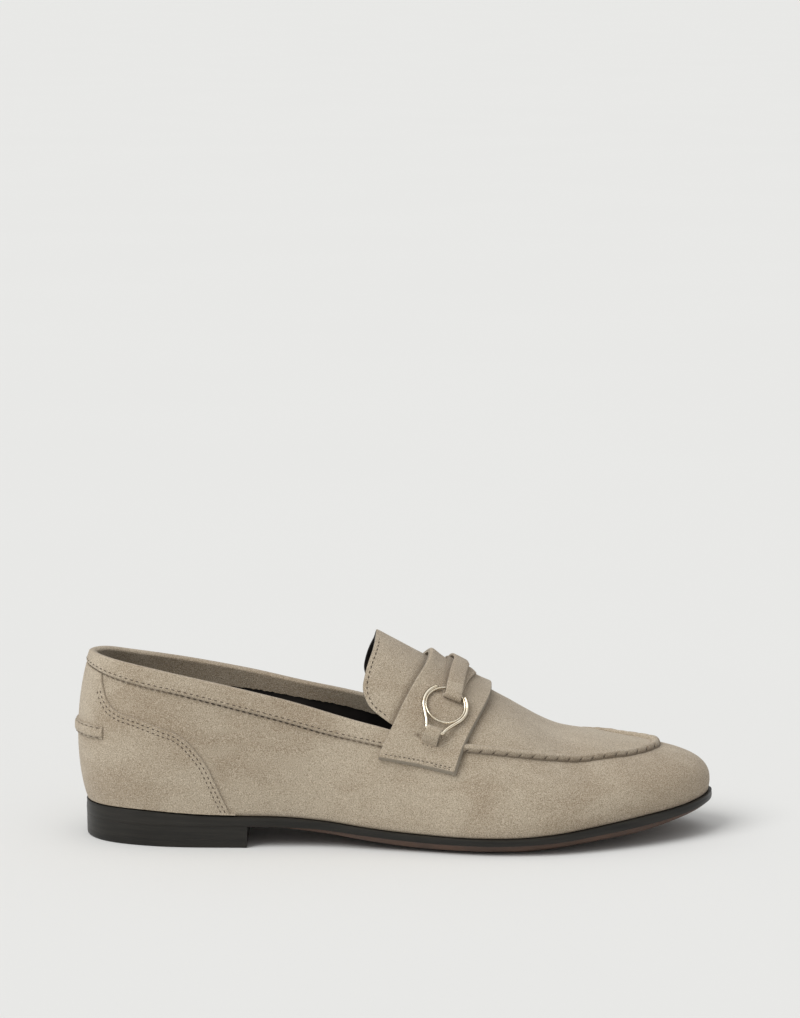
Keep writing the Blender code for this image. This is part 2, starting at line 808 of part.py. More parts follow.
def strap_side(side, count):
    """Lower and upper points of one side of the strap: a row for each place from the fold (0) to the crest (1)."""
    low_out = saddle_top() + CLEARANCE
    ends = [on_last(side, RING_TOP, a + STRAP_ASIDE, RING_RADIUS - STRAP_FOLD) for a, _ in strap_section(0.0)]
    step = 0.01
    low = []
    high = []
    for share in np.linspace(0, 1, count):
        low_row = []
        high_row = []
        for (a, thickness), (a_end, _), (way_end, rise_end) in zip(strap_section(share), strap_section(0.0), ends):
            rise = rise_end + (1 - rise_end) * share
            middle = read(STRAP_MIDDLE, 1, rise)
            per_way = np.linalg.norm(last(middle + step, rise, side) - last(middle, rise, side)) / step
            offset = way_end - read(STRAP_MIDDLE, 1, rise_end) - a_end / per_way
            way = middle + a / per_way + offset * (1 - share) ** 2
            low_row.append(last(way, rise, side, low_out))
            high_row.append(last(way, rise, side, low_out + thickness))
        low.append(low_row)
        high.append(high_row)
    return low, high


def build_strap(group, suede, cutters):
    """Strap over the saddle from ring to ring, with a channel at each end that the ring passes through."""
    low, high = strap_side(LATERAL, 10)
    far_low, far_high = strap_side(MEDIAL, 10)
    low += far_low[-2::-1]
    high += far_high[-2::-1]
    strap = add_object("bit_strap", slab_mesh("bit_strap", low, high), group, suede)
    for side, place in ((LATERAL, "lateral"), (MEDIAL, "medial")):
        channel = wire("strap_channel_" + place, ring_points(side), RING_WIRE + CLEARANCE, cutters, True)
        cut(strap, hide(channel), "DIFFERENCE")
    return strap


def build_ring_tab(name, side, group, suede, cutters):
    """Short tab folded round the bit's bar and sewn into the saddle below it."""
    low_out = saddle_top() + CLEARANCE
    top = SIDE_WIRE + 2 * CLEARANCE + TAB_FOLD - BAR_DROP
    low = []
    high = []
    for a in np.linspace(-TAB_WIDTH / 2, TAB_WIDTH / 2, 4):
        low_row = []
        high_row = []
        for share in np.linspace(0, 1, 7):
            way, rise = on_last(side, BAR_MIDDLE, a, top - TAB_LENGTH * share)
            thickness = TAB_THICKNESS * (1 - TAB_TAPER * share**2)
            low_row.append(last(way, rise, side, low_out))
            high_row.append(last(way, rise, side, low_out + thickness))
        low.append(low_row)
        high.append(high_row)
    tab = add_object(name, slab_mesh(name, low, high), group, suede)
    ends = [in_bit_frame(side, a * BAR_LENGTH / 2, -BAR_DROP) for a in (-1.2, 1.2)]
    cut(tab, hide(wire(name + "_channel", ends, SIDE_WIRE + CLEARANCE, cutters)), "DIFFERENCE")
    return tab


def main():
    clear_scene()
    shoe = collection("bit_loafer")
    cutters = collection("cutters")
    suede = material("suede", (0.40, 0.31, 0.22), 0.95)
    gold = material("pale_gold", (0.78, 0.66, 0.46), 0.25, 1.0)
    pieces = [
        build_outsole(shoe),
        build_heel(shoe),
        build_insole(shoe),
        build_upper(shoe, suede),
        build_counter(shoe, suede),
        build_collar_band(shoe, suede, cutters),
        build_heel_tab(shoe, suede),
        build_seam(shoe, suede, cutters),
        build_tongue(shoe, suede, cutters),
        build_saddle(shoe, suede, cutters),
        build_strap(shoe, suede, cutters),
    ]
    for side, place in ((LATERAL, "lateral"), (MEDIAL, "medial")):
        pieces.append(build_ring("bit_" + place, side, shoe, gold, cutters))
        pieces.append(build_ring_tab("ring_tab_" + place, side, shoe, suede, cutters))
    frame = bpy.data.objects.new("shoe_frame", None)
    shoe.objects.link(frame)
    frame.location = (-HEEL_END * SOLE_LENGTH / 2, 0, 0)
    for thing in pieces + list(cutters.objects):
        thing.parent = frame


main()
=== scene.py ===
# Bit loafer, right shoe: the dressed upper, strap, bit, sole and their finishes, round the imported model.
# Metres. The tables and the last are in the shoe's own frame, x from the back of the heel to the toe.
import math
from functools import lru_cache

import bpy
import numpy as np
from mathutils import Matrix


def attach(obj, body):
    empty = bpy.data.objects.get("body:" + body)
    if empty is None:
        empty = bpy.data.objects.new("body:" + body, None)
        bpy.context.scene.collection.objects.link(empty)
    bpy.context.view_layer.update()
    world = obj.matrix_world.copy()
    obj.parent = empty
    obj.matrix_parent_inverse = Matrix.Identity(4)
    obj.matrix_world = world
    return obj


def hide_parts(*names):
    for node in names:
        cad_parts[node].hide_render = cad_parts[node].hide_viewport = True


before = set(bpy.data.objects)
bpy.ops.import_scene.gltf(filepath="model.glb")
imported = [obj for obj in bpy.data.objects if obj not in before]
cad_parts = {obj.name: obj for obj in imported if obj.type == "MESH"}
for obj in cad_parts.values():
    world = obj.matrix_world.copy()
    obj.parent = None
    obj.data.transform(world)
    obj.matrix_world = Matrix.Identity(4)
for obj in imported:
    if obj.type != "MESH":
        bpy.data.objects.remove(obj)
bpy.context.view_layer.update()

mm = 0.001
lateral = -1
medial = 1

shoe = {
    "soleLength": 0.296,
    "ballWidth": 0.0985,
    "backHeight": 0.0890,
    "instepHeight": 0.0960,
    "edgeHeight": 0.0170,
    "heelHeight": 0.0099,
    "heelEnd": 0.260,
    "crestStart": 0.115,
    "crestEnd": 0.885,
    "throat": 0.4983,
    "throatSlope": 2.0,
    "wall": 0.0018,
    "gap": 0.0003,
    "featherInset": 0.0018,
    "insole": 0.0025,
}
shiftX = shoe["heelEnd"] * shoe["soleLength"] / 2

# share of the sole's length, lateral edge, medial edge in ball widths
solePlan = (
    (0.000, 0.000, 0.000),
    (0.040, -0.205, 0.205),
    (0.135, -0.303, 0.303),
    (0.255, -0.321, 0.312),
    (0.375, -0.326, 0.262),
    (0.505, -0.405, 0.325),
    (0.640, -0.481, 0.470),
    (0.740, -0.467, 0.506),
    (0.845, -0.362, 0.438),
    (0.930, -0.222, 0.318),
    (1.000, 0.081, 0.081),
)
# share of the sole's length, top of the edge, foot of the edge, foot of the bevel, tread
soleSide = (
    (0.000, 1.000, 0.600, 0.600, 0.600),
    (0.090, 0.985, 0.600, 0.600, 0.600),
    (0.200, 0.885, 0.600, 0.600, 0.600),
    (0.262, 0.862, 0.600, 0.600, 0.600),
    (0.300, 0.850, 0.585, 0.560, 0.540),
    (0.375, 0.750, 0.520, 0.410, 0.350),
    (0.450, 0.595, 0.390, 0.240, 0.140),
    (0.540, 0.490, 0.280, 0.130, 0.000),
    (0.620, 0.458, 0.260, 0.115, 0.000),
    (0.700, 0.490, 0.285, 0.160, 0.000),
    (0.740, 0.550, 0.330, 0.215, 0.060),
    (0.800, 0.675, 0.435, 0.300, 0.165),
    (0.880, 0.845, 0.580, 0.420, 0.350),
    (0.960, 1.000, 0.760, 0.660, 0.640),
    (1.000, 1.120, 0.880, 0.790, 0.770),
)
# share of the sole's length, crest's height in instep heights, its lean to the medial side in ball widths
crestTable = (
    (0.115, 1.200, 0.00),
    (0.300, 1.130, 0.00),
    (0.400, 1.060, 0.02),
    (0.464, 1.000, 0.03),
    (0.530, 0.893, 0.04),
    (0.600, 0.774, 0.05),
    (0.660, 0.665, 0.06),
    (0.740, 0.528, 0.07),
    (0.800, 0.487, 0.08),
    (0.885, 0.443, 0.08),
    (0.960, 0.408, 0.08),
)
# share of the crest's run, bulge of the wall, height of its turn, reach of the shoulder
sectionTable = (
    (0.000, 0.108, 0.30, 1.05),
    (0.040, 0.100, 0.31, 1.03),
    (0.130, 0.073, 0.33, 1.01),
    (0.260, 0.055, 0.36, 1.02),
    (0.380, 0.060, 0.36, 0.95),
    (0.500, 0.060, 0.36, 0.80),
    (0.640, 0.060, 0.40, 0.72),
    (0.750, 0.055, 0.45, 0.74),
    (0.850, 0.045, 0.47, 0.80),
    (0.930, 0.035, 0.49, 0.86),
    (1.000, 0.030, 0.50, 0.92),
)
# share of the sole's length, rim's height on the lateral and the medial side in heights of the shoe there
rimTable = (
    (0.000, 0.988, 0.988),
    (0.020, 0.982, 0.975),
    (0.068, 0.952, 0.927),
    (0.170, 0.874, 0.846),
    (0.310, 0.752, 0.741),
    (0.430, 0.634, 0.648),
    (0.498, 0.579, 0.579),
)


@lru_cache(maxsize=None)
def tableRows(table):
    rows = np.array(table)
    return rows[:, 0], rows.T, np.gradient(rows, rows[:, 0], axis=0).T


def readTable(table, column, at):
    knots, values, slopes = tableRows(table)
    values, slopes = values[column], slopes[column]
    at = np.clip(at, knots[0], knots[-1])
    after = np.clip(np.searchsorted(knots, at, side="right"), 1, len(knots) - 1)
    width = knots[after] - knots[after - 1]
    s = (at - knots[after - 1]) / width
    level = values[after - 1] * (1 + 2 * s) * (1 - s) ** 2 + values[after] * s**2 * (3 - 2 * s)
    bend = slopes[after - 1] * s * (1 - s) ** 2 - slopes[after] * s**2 * (1 - s)
    return level + width * bend


def shareOfWay(way):
    return (1 - np.cos(math.pi * way)) / 2


def wayOf(share):
    return np.arccos(1 - 2 * np.asarray(share, float)) / math.pi


planByWay = tuple((float(wayOf(row[0])), row[1], row[2]) for row in solePlan)


def soleLine(way, side):
    column = 1 if side == lateral else 2
    return shoe["soleLength"] * shareOfWay(way), shoe["ballWidth"] * readTable(planByWay, column, way)


def soleEdge(way, side, inset=0.0):
    way = np.asarray(way, float)
    step = 1e-3
    x, y = soleLine(way, side)
    x0, y0 = soleLine(np.clip(way - step, 0, 1), side)
    x1, y1 = soleLine(np.clip(way + step, 0, 1), side)
    size = np.hypot(x1 - x0, y1 - y0)
    atEnd = (way < step) | (way > 1 - step)
    inwardX = np.where(atEnd, np.where(way < 0.5, 1.0, -1.0), side * (y1 - y0) / size)
    inwardY = np.where(atEnd, 0.0, -side * (x1 - x0) / size)
    return x + inset * inwardX, y + inset * inwardY


def soleHeight(x, column):
    return shoe["edgeHeight"] * np.maximum(readTable(soleSide, column, x / shoe["soleLength"]), 0.0)


def shoeHeight(x):
    blend = np.clip(x / (crestTable[3][0] * shoe["soleLength"]), 0, 1)
    return shoe["backHeight"] + (shoe["instepHeight"] - shoe["backHeight"]) * blend


def crest(share):
    along = shoe["crestStart"] + (shoe["crestEnd"] - shoe["crestStart"]) * share
    y = shoe["ballWidth"] * readTable(crestTable, 2, along)
    return shoe["soleLength"] * along, y, shoe["instepHeight"] * readTable(crestTable, 1, along)


def lastSurface(way, rise, side):
    share = shareOfWay(way)
    footX, footY = soleEdge(way, side, shoe["featherInset"])
    footZ = soleHeight(footX, 1) + shoe["gap"]
    topX, topY, topZ = crest(share)
    step = 1e-4
    ahead = crest(share + step)
    behind = crest(share - step)
    slope = (ahead[2] - behind[2]) / (ahead[0] - behind[0])
    half = np.hypot(footX - topX, footY - topY)
    outX = (footX - topX) / half
    outY = (footY - topY) / half
    bulge = shoe["ballWidth"] * readTable(sectionTable, 1, share)
    climb = (topZ - footZ) * readTable(sectionTable, 2, share)
    reach = half * readTable(sectionTable, 3, share)
    foot = np.stack([footX, footY, footZ], -1)
    wall = np.stack([footX + bulge * outX, footY + bulge * outY, footZ + climb], -1)
    shoulder = np.stack([topX + reach * outX, topY + reach * outY, topZ + slope * reach * outX], -1)
    top = np.stack([topX, topY, topZ], -1)
    r = rise[..., None]
    return (1 - r) ** 3 * foot + 3 * (1 - r) ** 2 * r * wall + 3 * (1 - r) * r**2 * shoulder + r**3 * top


def lastFrame(way, rise, side):
    # a point of the last, its outward normal, and how far one unit of way and of rise carries it
    way, rise = np.broadcast_arrays(np.asarray(way, float), np.asarray(rise, float))
    step = 1e-3
    way1, way0 = np.clip(way + step, 0, 1), np.clip(way - step, 0, 1)
    rise1, rise0 = np.clip(rise + step, 0, 1), np.clip(rise - step, 0, 1)
    perWay = (lastSurface(way1, rise, side) - lastSurface(way0, rise, side)) / (way1 - way0)[..., None]
    perRise = (lastSurface(way, rise1, side) - lastSurface(way, rise0, side)) / (rise1 - rise0)[..., None]
    return lastSurface(way, rise, side), unit(-side * np.cross(perWay, perRise)), perWay, perRise


def last(way, rise, side, out=0.0):
    way, rise, out = np.broadcast_arrays(*(np.asarray(v, float) for v in (way, rise, out)))
    point, normal, _, _ = lastFrame(way, rise, side)
    return point + out[..., None] * normal


def rimLine(x, side):
    level = shoeHeight(x) * readTable(rimTable, 1 if side == lateral else 2, x / shoe["soleLength"])
    return level + shoe["throatSlope"] * np.maximum(x - shoe["throat"] * shoe["soleLength"], 0.0)


def riseTo(line, way, side):
    way = np.asarray(way, float)
    low = np.zeros_like(way)
    high = np.ones_like(way)
    for _ in range(30):
        middle = (low + high) / 2
        point = lastSurface(way, middle, side)
        under = point[..., 2] < line(point[..., 0], side)
        low = np.where(under, middle, low)
        high = np.where(under, high, middle)
    return np.where(high > 1 - 1e-6, 1.0, high)


def wayTo(line, rise, side, out=0.0):
    # the way at which each rise meets a line that gives x for a height
    rise = np.asarray(rise, float)
    low = np.full_like(rise, 0.30)
    high = np.full_like(rise, 0.75)
    for _ in range(26):
        middle = (low + high) / 2
        point = last(middle, rise, side, out)
        before = point[..., 0] < line(point[..., 2])
        low = np.where(before, middle, low)
        high = np.where(before, high, middle)
    return (low + high) / 2


def moveOnLast(way, rise, side, along, up):
    # way and rise after a move in metres: along the foot's length and up the wall, in the surface
    _, _, perWay, perRise = lastFrame(way, rise, side)
    wayAxis = unit(perWay)
    upAxis = perRise - wayAxis * np.sum(perRise * wayAxis, -1, keepdims=True)
    upSize = np.linalg.norm(upAxis, axis=-1)
    dRise = up / upSize
    lean = np.sum(perRise * wayAxis, -1)
    dWay = (along - dRise * lean) / np.linalg.norm(perWay, axis=-1)
    return way + dWay, rise + dRise


def evenLine(ways, rises, side, count=500):
    # the same line with its points at even steps
    run = runAlong(last(ways, rises, side))
    even = np.linspace(0, run[-1], count)
    return np.interp(even, run, ways), np.interp(even, run, rises)


def shiftLine(ways, rises, side, inward):
    # a line on the last, moved sideways: to its left as it runs from its first point
    ways, rises = np.asarray(ways, float), np.asarray(rises, float)
    point, normal, perWay, perRise = lastFrame(ways, rises, side)
    aside = np.cross(normal, unit(np.gradient(point, axis=0))) * inward
    a11 = np.sum(perWay * perWay, -1)
    a12 = np.sum(perWay * perRise, -1)
    a22 = np.sum(perRise * perRise, -1)
    b1 = np.sum(perWay * aside, -1)
    b2 = np.sum(perRise * aside, -1)
    det = a11 * a22 - a12 * a12
    return ways + (a22 * b1 - a12 * b2) / det, rises + (a11 * b2 - a12 * b1) / det


def lineOf(table):
    # a table of x and height, in shares, as a line that gives x in metres for a height
    rows = np.array(sorted(table, key=lambda row: row[1]))
    turned = np.stack([rows[:, 1] * shoe["instepHeight"], rows[:, 0] * shoe["soleLength"]], -1)
    turned = tuple(map(tuple, turned.tolist()))
    return lambda z: readTable(turned, 1, z)


def stepsBetween(first, final, count):
    # rows of values that go from one line to another in even steps
    return first[:, None] + (final - first)[:, None] * np.linspace(0, 1, count)


def outerOnly(values, inner=0.0):
    # marks of a sheet's outer face, with one value for the inner face behind it
    return np.concatenate([values, np.full_like(values, inner)], axis=1)


def unit(vectors):
    return vectors / np.linalg.norm(vectors, axis=-1, keepdims=True)


def runAlong(points):
    # a line's length up to each of its points
    return np.concatenate([[0], np.cumsum(np.linalg.norm(np.diff(points, axis=0), axis=1))])


def bell(value, middle, width):
    return np.exp(-(((value - middle) / width) ** 2))


def roundShoe(ways):
    # the lateral side to the toe, then the medial side back
    return (lateral, ways), (medial, ways[-2:0:-1])


def roundHeel(ways):
    # the medial side to the heel, then the lateral side forward
    return (medial, ways[::-1]), (lateral, ways[1:])


def smoothStep(edge0, edge1, value):
    t = np.clip((value - edge0) / (edge1 - edge0), 0, 1)
    return t * t * (3 - 2 * t)


# meshes


def deselectAll():
    bpy.ops.object.select_all(action="DESELECT")


def makeActive(piece):
    deselectAll()
    piece.select_set(True)
    bpy.context.view_layer.objects.active = piece


def gridPiece(name, points, joinRows=False, joinColumns=False, caps=False, slots=None, marks=None):
    # a grid primitive whose vertices take their places from rows and columns of points
    points = np.asarray(points, float)
    rows, columns = points.shape[:2]
    if joinRows:
        points = np.concatenate([points, points[:1]])
        rows += 1
    if joinColumns:
        points = np.concatenate([points, points[:, :1]], axis=1)
        columns += 1
    deselectAll()
    bpy.ops.mesh.primitive_grid_add(x_subdivisions=columns - 1, y_subdivisions=rows - 1, size=1)
    piece = bpy.context.object
    piece.name = name
    piece.data.name = name
    mesh = piece.data
    place = np.empty(len(mesh.vertices) * 3)
    mesh.vertices.foreach_get("co", place)
    place = place.reshape(-1, 3)
    order = np.lexsort((np.round(place[:, 0], 5), np.round(place[:, 1], 5)))
    place[order] = points.reshape(-1, 3) - (shiftX, 0, 0)
    mesh.vertices.foreach_set("co", place.ravel())
    if slots is not None:
        index = np.empty(len(mesh.vertices), int)
        index[order] = np.arange(len(order))
        columnOf = np.array([min(index[v] % columns for v in face.vertices) for face in mesh.polygons])
        mesh.polygons.foreach_set("material_index", np.asarray(slots)[columnOf].astype(np.int32))
    for mark, values in (marks or {}).items():
        values = np.broadcast_to(np.asarray(values, float), (rows - joinRows, columns - joinColumns))
        if joinRows:
            values = np.concatenate([values, values[:1]])
        if joinColumns:
            values = np.concatenate([values, values[:, :1]], axis=1)
        spread = np.empty(len(order), np.float32)
        spread[order] = values.ravel()
        mesh.attributes.new(mark, "FLOAT", "POINT").data.foreach_set("value", spread)
    mesh.update()
    bpy.ops.object.mode_set(mode="EDIT")
    bpy.ops.mesh.select_all(action="SELECT")
    bpy.ops.mesh.remove_doubles(threshold=2e-6)
    if caps:
        bpy.ops.mesh.select_all(action="SELECT")
        bpy.ops.mesh.fill_holes(sides=0)
    bpy.ops.mesh.select_all(action="SELECT")
    bpy.ops.mesh.normals_make_consistent(inside=False)
    bpy.ops.object.mode_set(mode="OBJECT")
    return piece


def faceOut(piece):
    # an open shell: turned over when its faces look to its own middle
    mesh = piece.data
    middle = np.mean([v.co for v in mesh.vertices], axis=0)
    centers = np.array([p.center for p in mesh.polygons])
    normals = np.array([p.normal for p in mesh.polygons])
    if np.sum((centers - middle) * normals) < 0:
        makeActive(piece)
        bpy.ops.object.mode_set(mode="EDIT")
        bpy.ops.mesh.select_all(action="SELECT")
        bpy.ops.mesh.flip_normals()
        bpy.ops.object.mode_set(mode="OBJECT")


def applyModifier(piece, kind, **settings):
    makeActive(piece)
    modifier = piece.modifiers.new(kind.title(), kind)
    for key, value in settings.items():
        setattr(modifier, key, value)
    bpy.ops.object.modifier_apply(modifier=modifier.name)


def finishPiece(piece, finishes, stands=(), angle=None):
    makeActive(piece)
    if angle is None:
        bpy.ops.object.shade_smooth()
    else:
        bpy.ops.object.shade_smooth_by_angle(angle=math.radians(angle))
    for finish in finishes:
        piece.data.materials.append(finish)
    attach(piece, "root")
    if stands:
        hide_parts(*stands)


def suedePiece(name, points, stands, angle=60, edge=0.0, shade=0.0, ring=False, slots=None):
    # columns run round a section: a ring joins its rows too, and any other piece has its ends closed
    piece = gridPiece(name, points, joinRows=ring, joinColumns=True, caps=not ring, slots=slots,
                      marks={"edge": edge, "shade": shade})
    finishPiece(piece, [suedeMat] if slots is None else [suedeMat, liningMat], [stands], angle=angle)


nearEdge = (0.0, 0.10, 0.25, 0.45, 0.80)


def edgeSpaced(length, count, near=nearEdge):
    # shares from 0 to 1 that stand close together near both ends, for a length in millimetres
    near = np.array(near)
    inner = np.linspace(near[-1], length - near[-1], count)
    return np.concatenate([near[:-1], inner, length - near[:-1][::-1]]) / length


def cutEdge(distance, radius=0.45, left=0.55):
    # height share of a leather's face near its cut edge, for a distance in millimetres
    t = np.clip(distance / radius, 0, 1)
    return left + (1 - left) * np.sqrt(np.maximum(1 - (1 - t) ** 2, 0))


def tubePoints(path, radius, sides=12, closed=False):
    path = np.asarray(path, float)
    ahead = np.roll(path, -1, 0) - np.roll(path, 1, 0) if closed else np.gradient(path, axis=0)
    tangent = unit(ahead)
    flat = np.linalg.svd(path - path.mean(0))[2][2]
    first = unit(np.cross(tangent, flat))
    second = np.cross(tangent, first)
    radius = np.broadcast_to(np.asarray(radius, float), len(path))
    turns = np.linspace(0, 2 * math.pi, sides, endpoint=False)
    ring = np.cos(turns)[None, :, None] * first[:, None] + np.sin(turns)[None, :, None] * second[:, None]
    return path[:, None] + radius[:, None, None] * ring


stitchShape = {"segments": 8, "rings": 5, "reach": 0.3 * mm}


def stitchTemplate():
    deselectAll()
    segments, rings = stitchShape["segments"], stitchShape["rings"]
    bpy.ops.mesh.primitive_uv_sphere_add(segments=segments, ring_count=rings, radius=1)
    ball = bpy.context.object
    points = np.array([v.co for v in ball.data.vertices])
    faces = [tuple(p.vertices) for p in ball.data.polygons]
    bpy.data.objects.remove(ball, do_unlink=True)
    return points, faces


def stitchRun(points, normals, pitch, length, width, height):
    # places stitches along a line at an even pitch: middle, along, across, up, already at their size
    run = runAlong(points)
    count = max(int(run[-1] / pitch), 1)

    def at(here, values):
        return np.array([np.interp(here, run, values[:, k]) for k in range(3)])

    frames = []
    for here in (np.arange(count) + 0.5) * run[-1] / count:
        up = unit(at(here, normals))
        along = at(here + stitchShape["reach"], points) - at(here - stitchShape["reach"], points)
        along = unit(along - up * (along @ up))
        across = np.cross(up, along)
        frames.append((at(here, points), along * length / 2, across * width / 2, up * height / 2))
    return frames


def stitchPiece(name, frames, dark=1.0):
    ball, faces = stitchTemplate()
    frames = np.array([np.array(f) for f in frames])
    offsets = sum(ball[None, :, k : k + 1] * frames[:, None, k + 1] for k in range(3))
    points = (frames[:, None, 0] + offsets).reshape(-1, 3) - (shiftX, 0, 0)
    allFaces = [tuple(v + len(ball) * k for v in face) for k in range(len(frames)) for face in faces]
    mesh = bpy.data.meshes.new(name)
    mesh.from_pydata(points.tolist(), [], allFaces)
    tones = np.repeat(np.broadcast_to(np.asarray(dark, float), len(frames)), len(ball))
    mesh.attributes.new("dark", "FLOAT", "POINT").data.foreach_set("value", tones.astype(np.float32))
    mesh.update()
    piece = bpy.data.objects.new(name, mesh)
    bpy.context.scene.collection.objects.link(piece)
    finishPiece(piece, [threadMat])


# shader maths


class Link:
    def __init__(self, finish, socket):
        self.finish = finish
        self.socket = socket

    def math(self, operation, other):
        return self.finish.node("ShaderNodeMath", {"operation": operation}, {0: self, 1: other})

    def __add__(self, other):
        return self.math("ADD", other)

    def __mul__(self, other):
        return self.math("MULTIPLY", other)

    def __rsub__(self, other):
        return (self * -1) + other

    __radd__ = __add__


class Finish:
    def __init__(self, name, **fixed):
        self.material = bpy.data.materials.new(name)
        self.material.use_nodes = True
        self.tree = self.material.node_tree
        self.shader = self.tree.nodes["Principled BSDF"]
        for key, value in fixed.items():
            self.shader.inputs[key.replace("_", " ")].default_value = value
        self.place = self.node("ShaderNodeTexCoord", {}, {}, "Object")

    def node(self, kind, settings, values, output=0):
        made = self.tree.nodes.new(kind)
        for key, value in settings.items():
            setattr(made, key, value)
        for key, value in values.items():
            if isinstance(value, Link):
                self.tree.links.new(value.socket, made.inputs[key])
            else:
                made.inputs[key].default_value = value
        return Link(self, made.outputs[output])

    def noise(self, scale, detail=2.0, roughness=0.5, stretch=None, distortion=0.0):
        where = self.place
        if stretch:
            where = self.node("ShaderNodeMapping", {}, {"Vector": where, "Scale": stretch})
        values = {"Scale": scale, "Detail": detail, "Roughness": roughness, "Distortion": distortion}
        return self.node("ShaderNodeTexNoise", {}, {"Vector": where, **values})

    def ramp(self, value, low, high):
        # a value's run from low to high, as 0 to 1 with soft ends
        settings = {"interpolation_type": "SMOOTHSTEP"}
        return self.node("ShaderNodeMapRange", settings, {"Value": value, "From Min": low, "From Max": high})

    def mix(self, share, first, second):
        # the sockets by number are a Mix node's factor, its two colours and its colour result
        return self.node("ShaderNodeMix", {"data_type": "RGBA"}, {0: share, 6: first, 7: second}, 2)

    def mark(self, name):
        return self.node("ShaderNodeAttribute", {"attribute_name": name}, {}, "Fac")

    def bump(self, height, distance, strength=1.0):
        return self.node("ShaderNodeBump", {}, {"Height": height, "Distance": distance, "Strength": strength})

    def feed(self, **links):
        for key, value in links.items():
            self.tree.links.new(value.socket, self.shader.inputs[key.replace("_", " ")])
        return self.material


suedeTone = {
    "dark": (0.426, 0.327, 0.216, 1.0),
    "light": (0.660, 0.562, 0.418, 1.0),
    "deep": (0.215, 0.163, 0.108, 1.0),
    "pale": (0.690, 0.600, 0.480, 1.0),
    "edge": (0.262, 0.228, 0.180, 1.0),
    # shade: the tone of painted shade, also standing for some grime along the sole
    "shade": (0.120, 0.088, 0.058, 1.0),
    "sheen": (1.0, 0.97, 0.92, 1.0),
    "nap": 0.22,
    "grain": 0.76,
    "depth": 0.0006,
}


def suedeFinish(tone):
    suede = Finish("suede", Roughness=0.95, Specular_IOR_Level=0.12, Sheen_Weight=0.30, Sheen_Roughness=0.5,
                   Sheen_Tint=tone["sheen"])
    brushed = suede.noise(46, 3.0, 0.6, (0.5, 1.0, 1.0), 0.6)
    cloud = suede.noise(19, 2.0, 0.5)
    nap = suede.noise(1250, 2.0, 0.6)
    grain = suede.noise(2600, 2.0, 0.7)
    blotch = suede.ramp(brushed * 0.6 + cloud * 0.4, 0.38, 0.62)
    color = suede.mix(blotch, tone["dark"], tone["light"])
    color = suede.mix(suede.ramp(nap, 0.30, 0.75) * tone["nap"], color, tone["deep"])
    for spots, end in ((grain, "pale"), (1 - grain, "deep")):
        color = suede.mix(suede.ramp(spots, 0.36, 0.70) * tone["grain"], color, tone[end])
    # the edge mark mixes in the cut edges' tone, which also paints shade into the heel tab's grooves; the
    # shade mark mixes in painted shade
    for mark in ("edge", "shade"):
        color = suede.mix(suede.mark(mark), color, tone[mark])
    return suede.feed(Base_Color=color, Normal=suede.bump(grain * 0.7 + nap * 0.6, tone["depth"]))


liningTone = {"dark": (0.012, 0.010, 0.009, 1.0), "light": (0.024, 0.020, 0.017, 1.0), "depth": 0.00012}


def liningFinish(tone):
    lining = Finish("liningLeather", Roughness=0.55, Specular_IOR_Level=0.35)
    grain = lining.noise(1500, 3.0, 0.6)
    wear = lining.noise(60, 2.0)
    color = lining.mix(lining.ramp(wear, 0.3, 0.7), tone["dark"], tone["light"])
    return lining.feed(Base_Color=color, Normal=lining.bump(grain, tone["depth"], 0.6))


edgeTone = {
    "dark": (0.010, 0.009, 0.007, 1.0),
    "light": (0.026, 0.023, 0.018, 1.0),
    "brown": (0.105, 0.058, 0.038, 1.0),
    "depth": 0.00010,
}


def edgeFinish(tone):
    edge = Finish("edgeLeather", Coat_Roughness=0.22, Specular_IOR_Level=0.30)
    streak = edge.noise(420, 3.0, 0.6, (0.05, 0.05, 1.0))
    fine = edge.noise(1400, 2.0, 0.5)
    wear = edge.noise(70, 3.0)
    worn = edge.ramp(wear, 0.3, 0.7)
    color = edge.mix(edge.ramp(streak, 0.3, 0.75) * 0.7, tone["dark"], tone["light"])
    color = edge.mix(edge.mark("brown") * (0.6 + worn * 0.4), color, tone["brown"])
    return edge.feed(
        Base_Color=color,
        Roughness=0.34 + edge.ramp(wear, 0.35, 0.7) * 0.16,
        Coat_Weight=0.04 + worn * 0.10,
        Normal=edge.bump(streak * 0.7 + fine * 0.3, tone["depth"], 0.6),
    )


goldTone = {
    "dark": (0.86, 0.74, 0.55, 1.0),
    "light": (0.95, 0.87, 0.71, 1.0),
    # side: painted dark reflection at the wire's edges
    "side": (0.14, 0.085, 0.035, 1.0),
    "depth": 0.00001,
}


def goldFinish(tone):
    # polished metal with a painted dark reflection: its base colour darkens where it turns away
    gold = Finish("paleGold", Metallic=1.0)
    smear = gold.noise(300, 3.0, 0.6)
    fine = gold.noise(3000, 2.0)
    facing = gold.node("ShaderNodeLayerWeight", {}, {"Blend": 0.42}, "Facing")
    color = gold.mix(gold.ramp(smear, 0.3, 0.7), tone["dark"], tone["light"])
    # painted reflection: the side tone stands in for dark surroundings seen at grazing angles
    color = gold.mix(gold.ramp(facing, 0.12, 0.62), color, tone["side"])
    roughness = 0.20 + gold.ramp(smear, 0.3, 0.75) * 0.08
    return gold.feed(Base_Color=color, Roughness=roughness, Normal=gold.bump(fine, tone["depth"], 0.1))


threadTone = {
    "dark": (0.035, 0.024, 0.016, 1.0),
    "light": (0.080, 0.058, 0.040, 1.0),
    "faded": (0.240, 0.185, 0.130, 1.0),
    "depth": 0.00008,
}


def threadFinish(tone):
    thread = Finish("thread", Roughness=0.75)
    fibre = thread.noise(3000, 2.0)
    color = thread.mix(thread.ramp(fibre, 0.3, 0.7), tone["dark"], tone["light"])
    color = thread.mix(thread.mark("dark"), tone["faded"], color)
    return thread.feed(Base_Color=color, Normal=thread.bump(fibre, tone["depth"], 0.6))


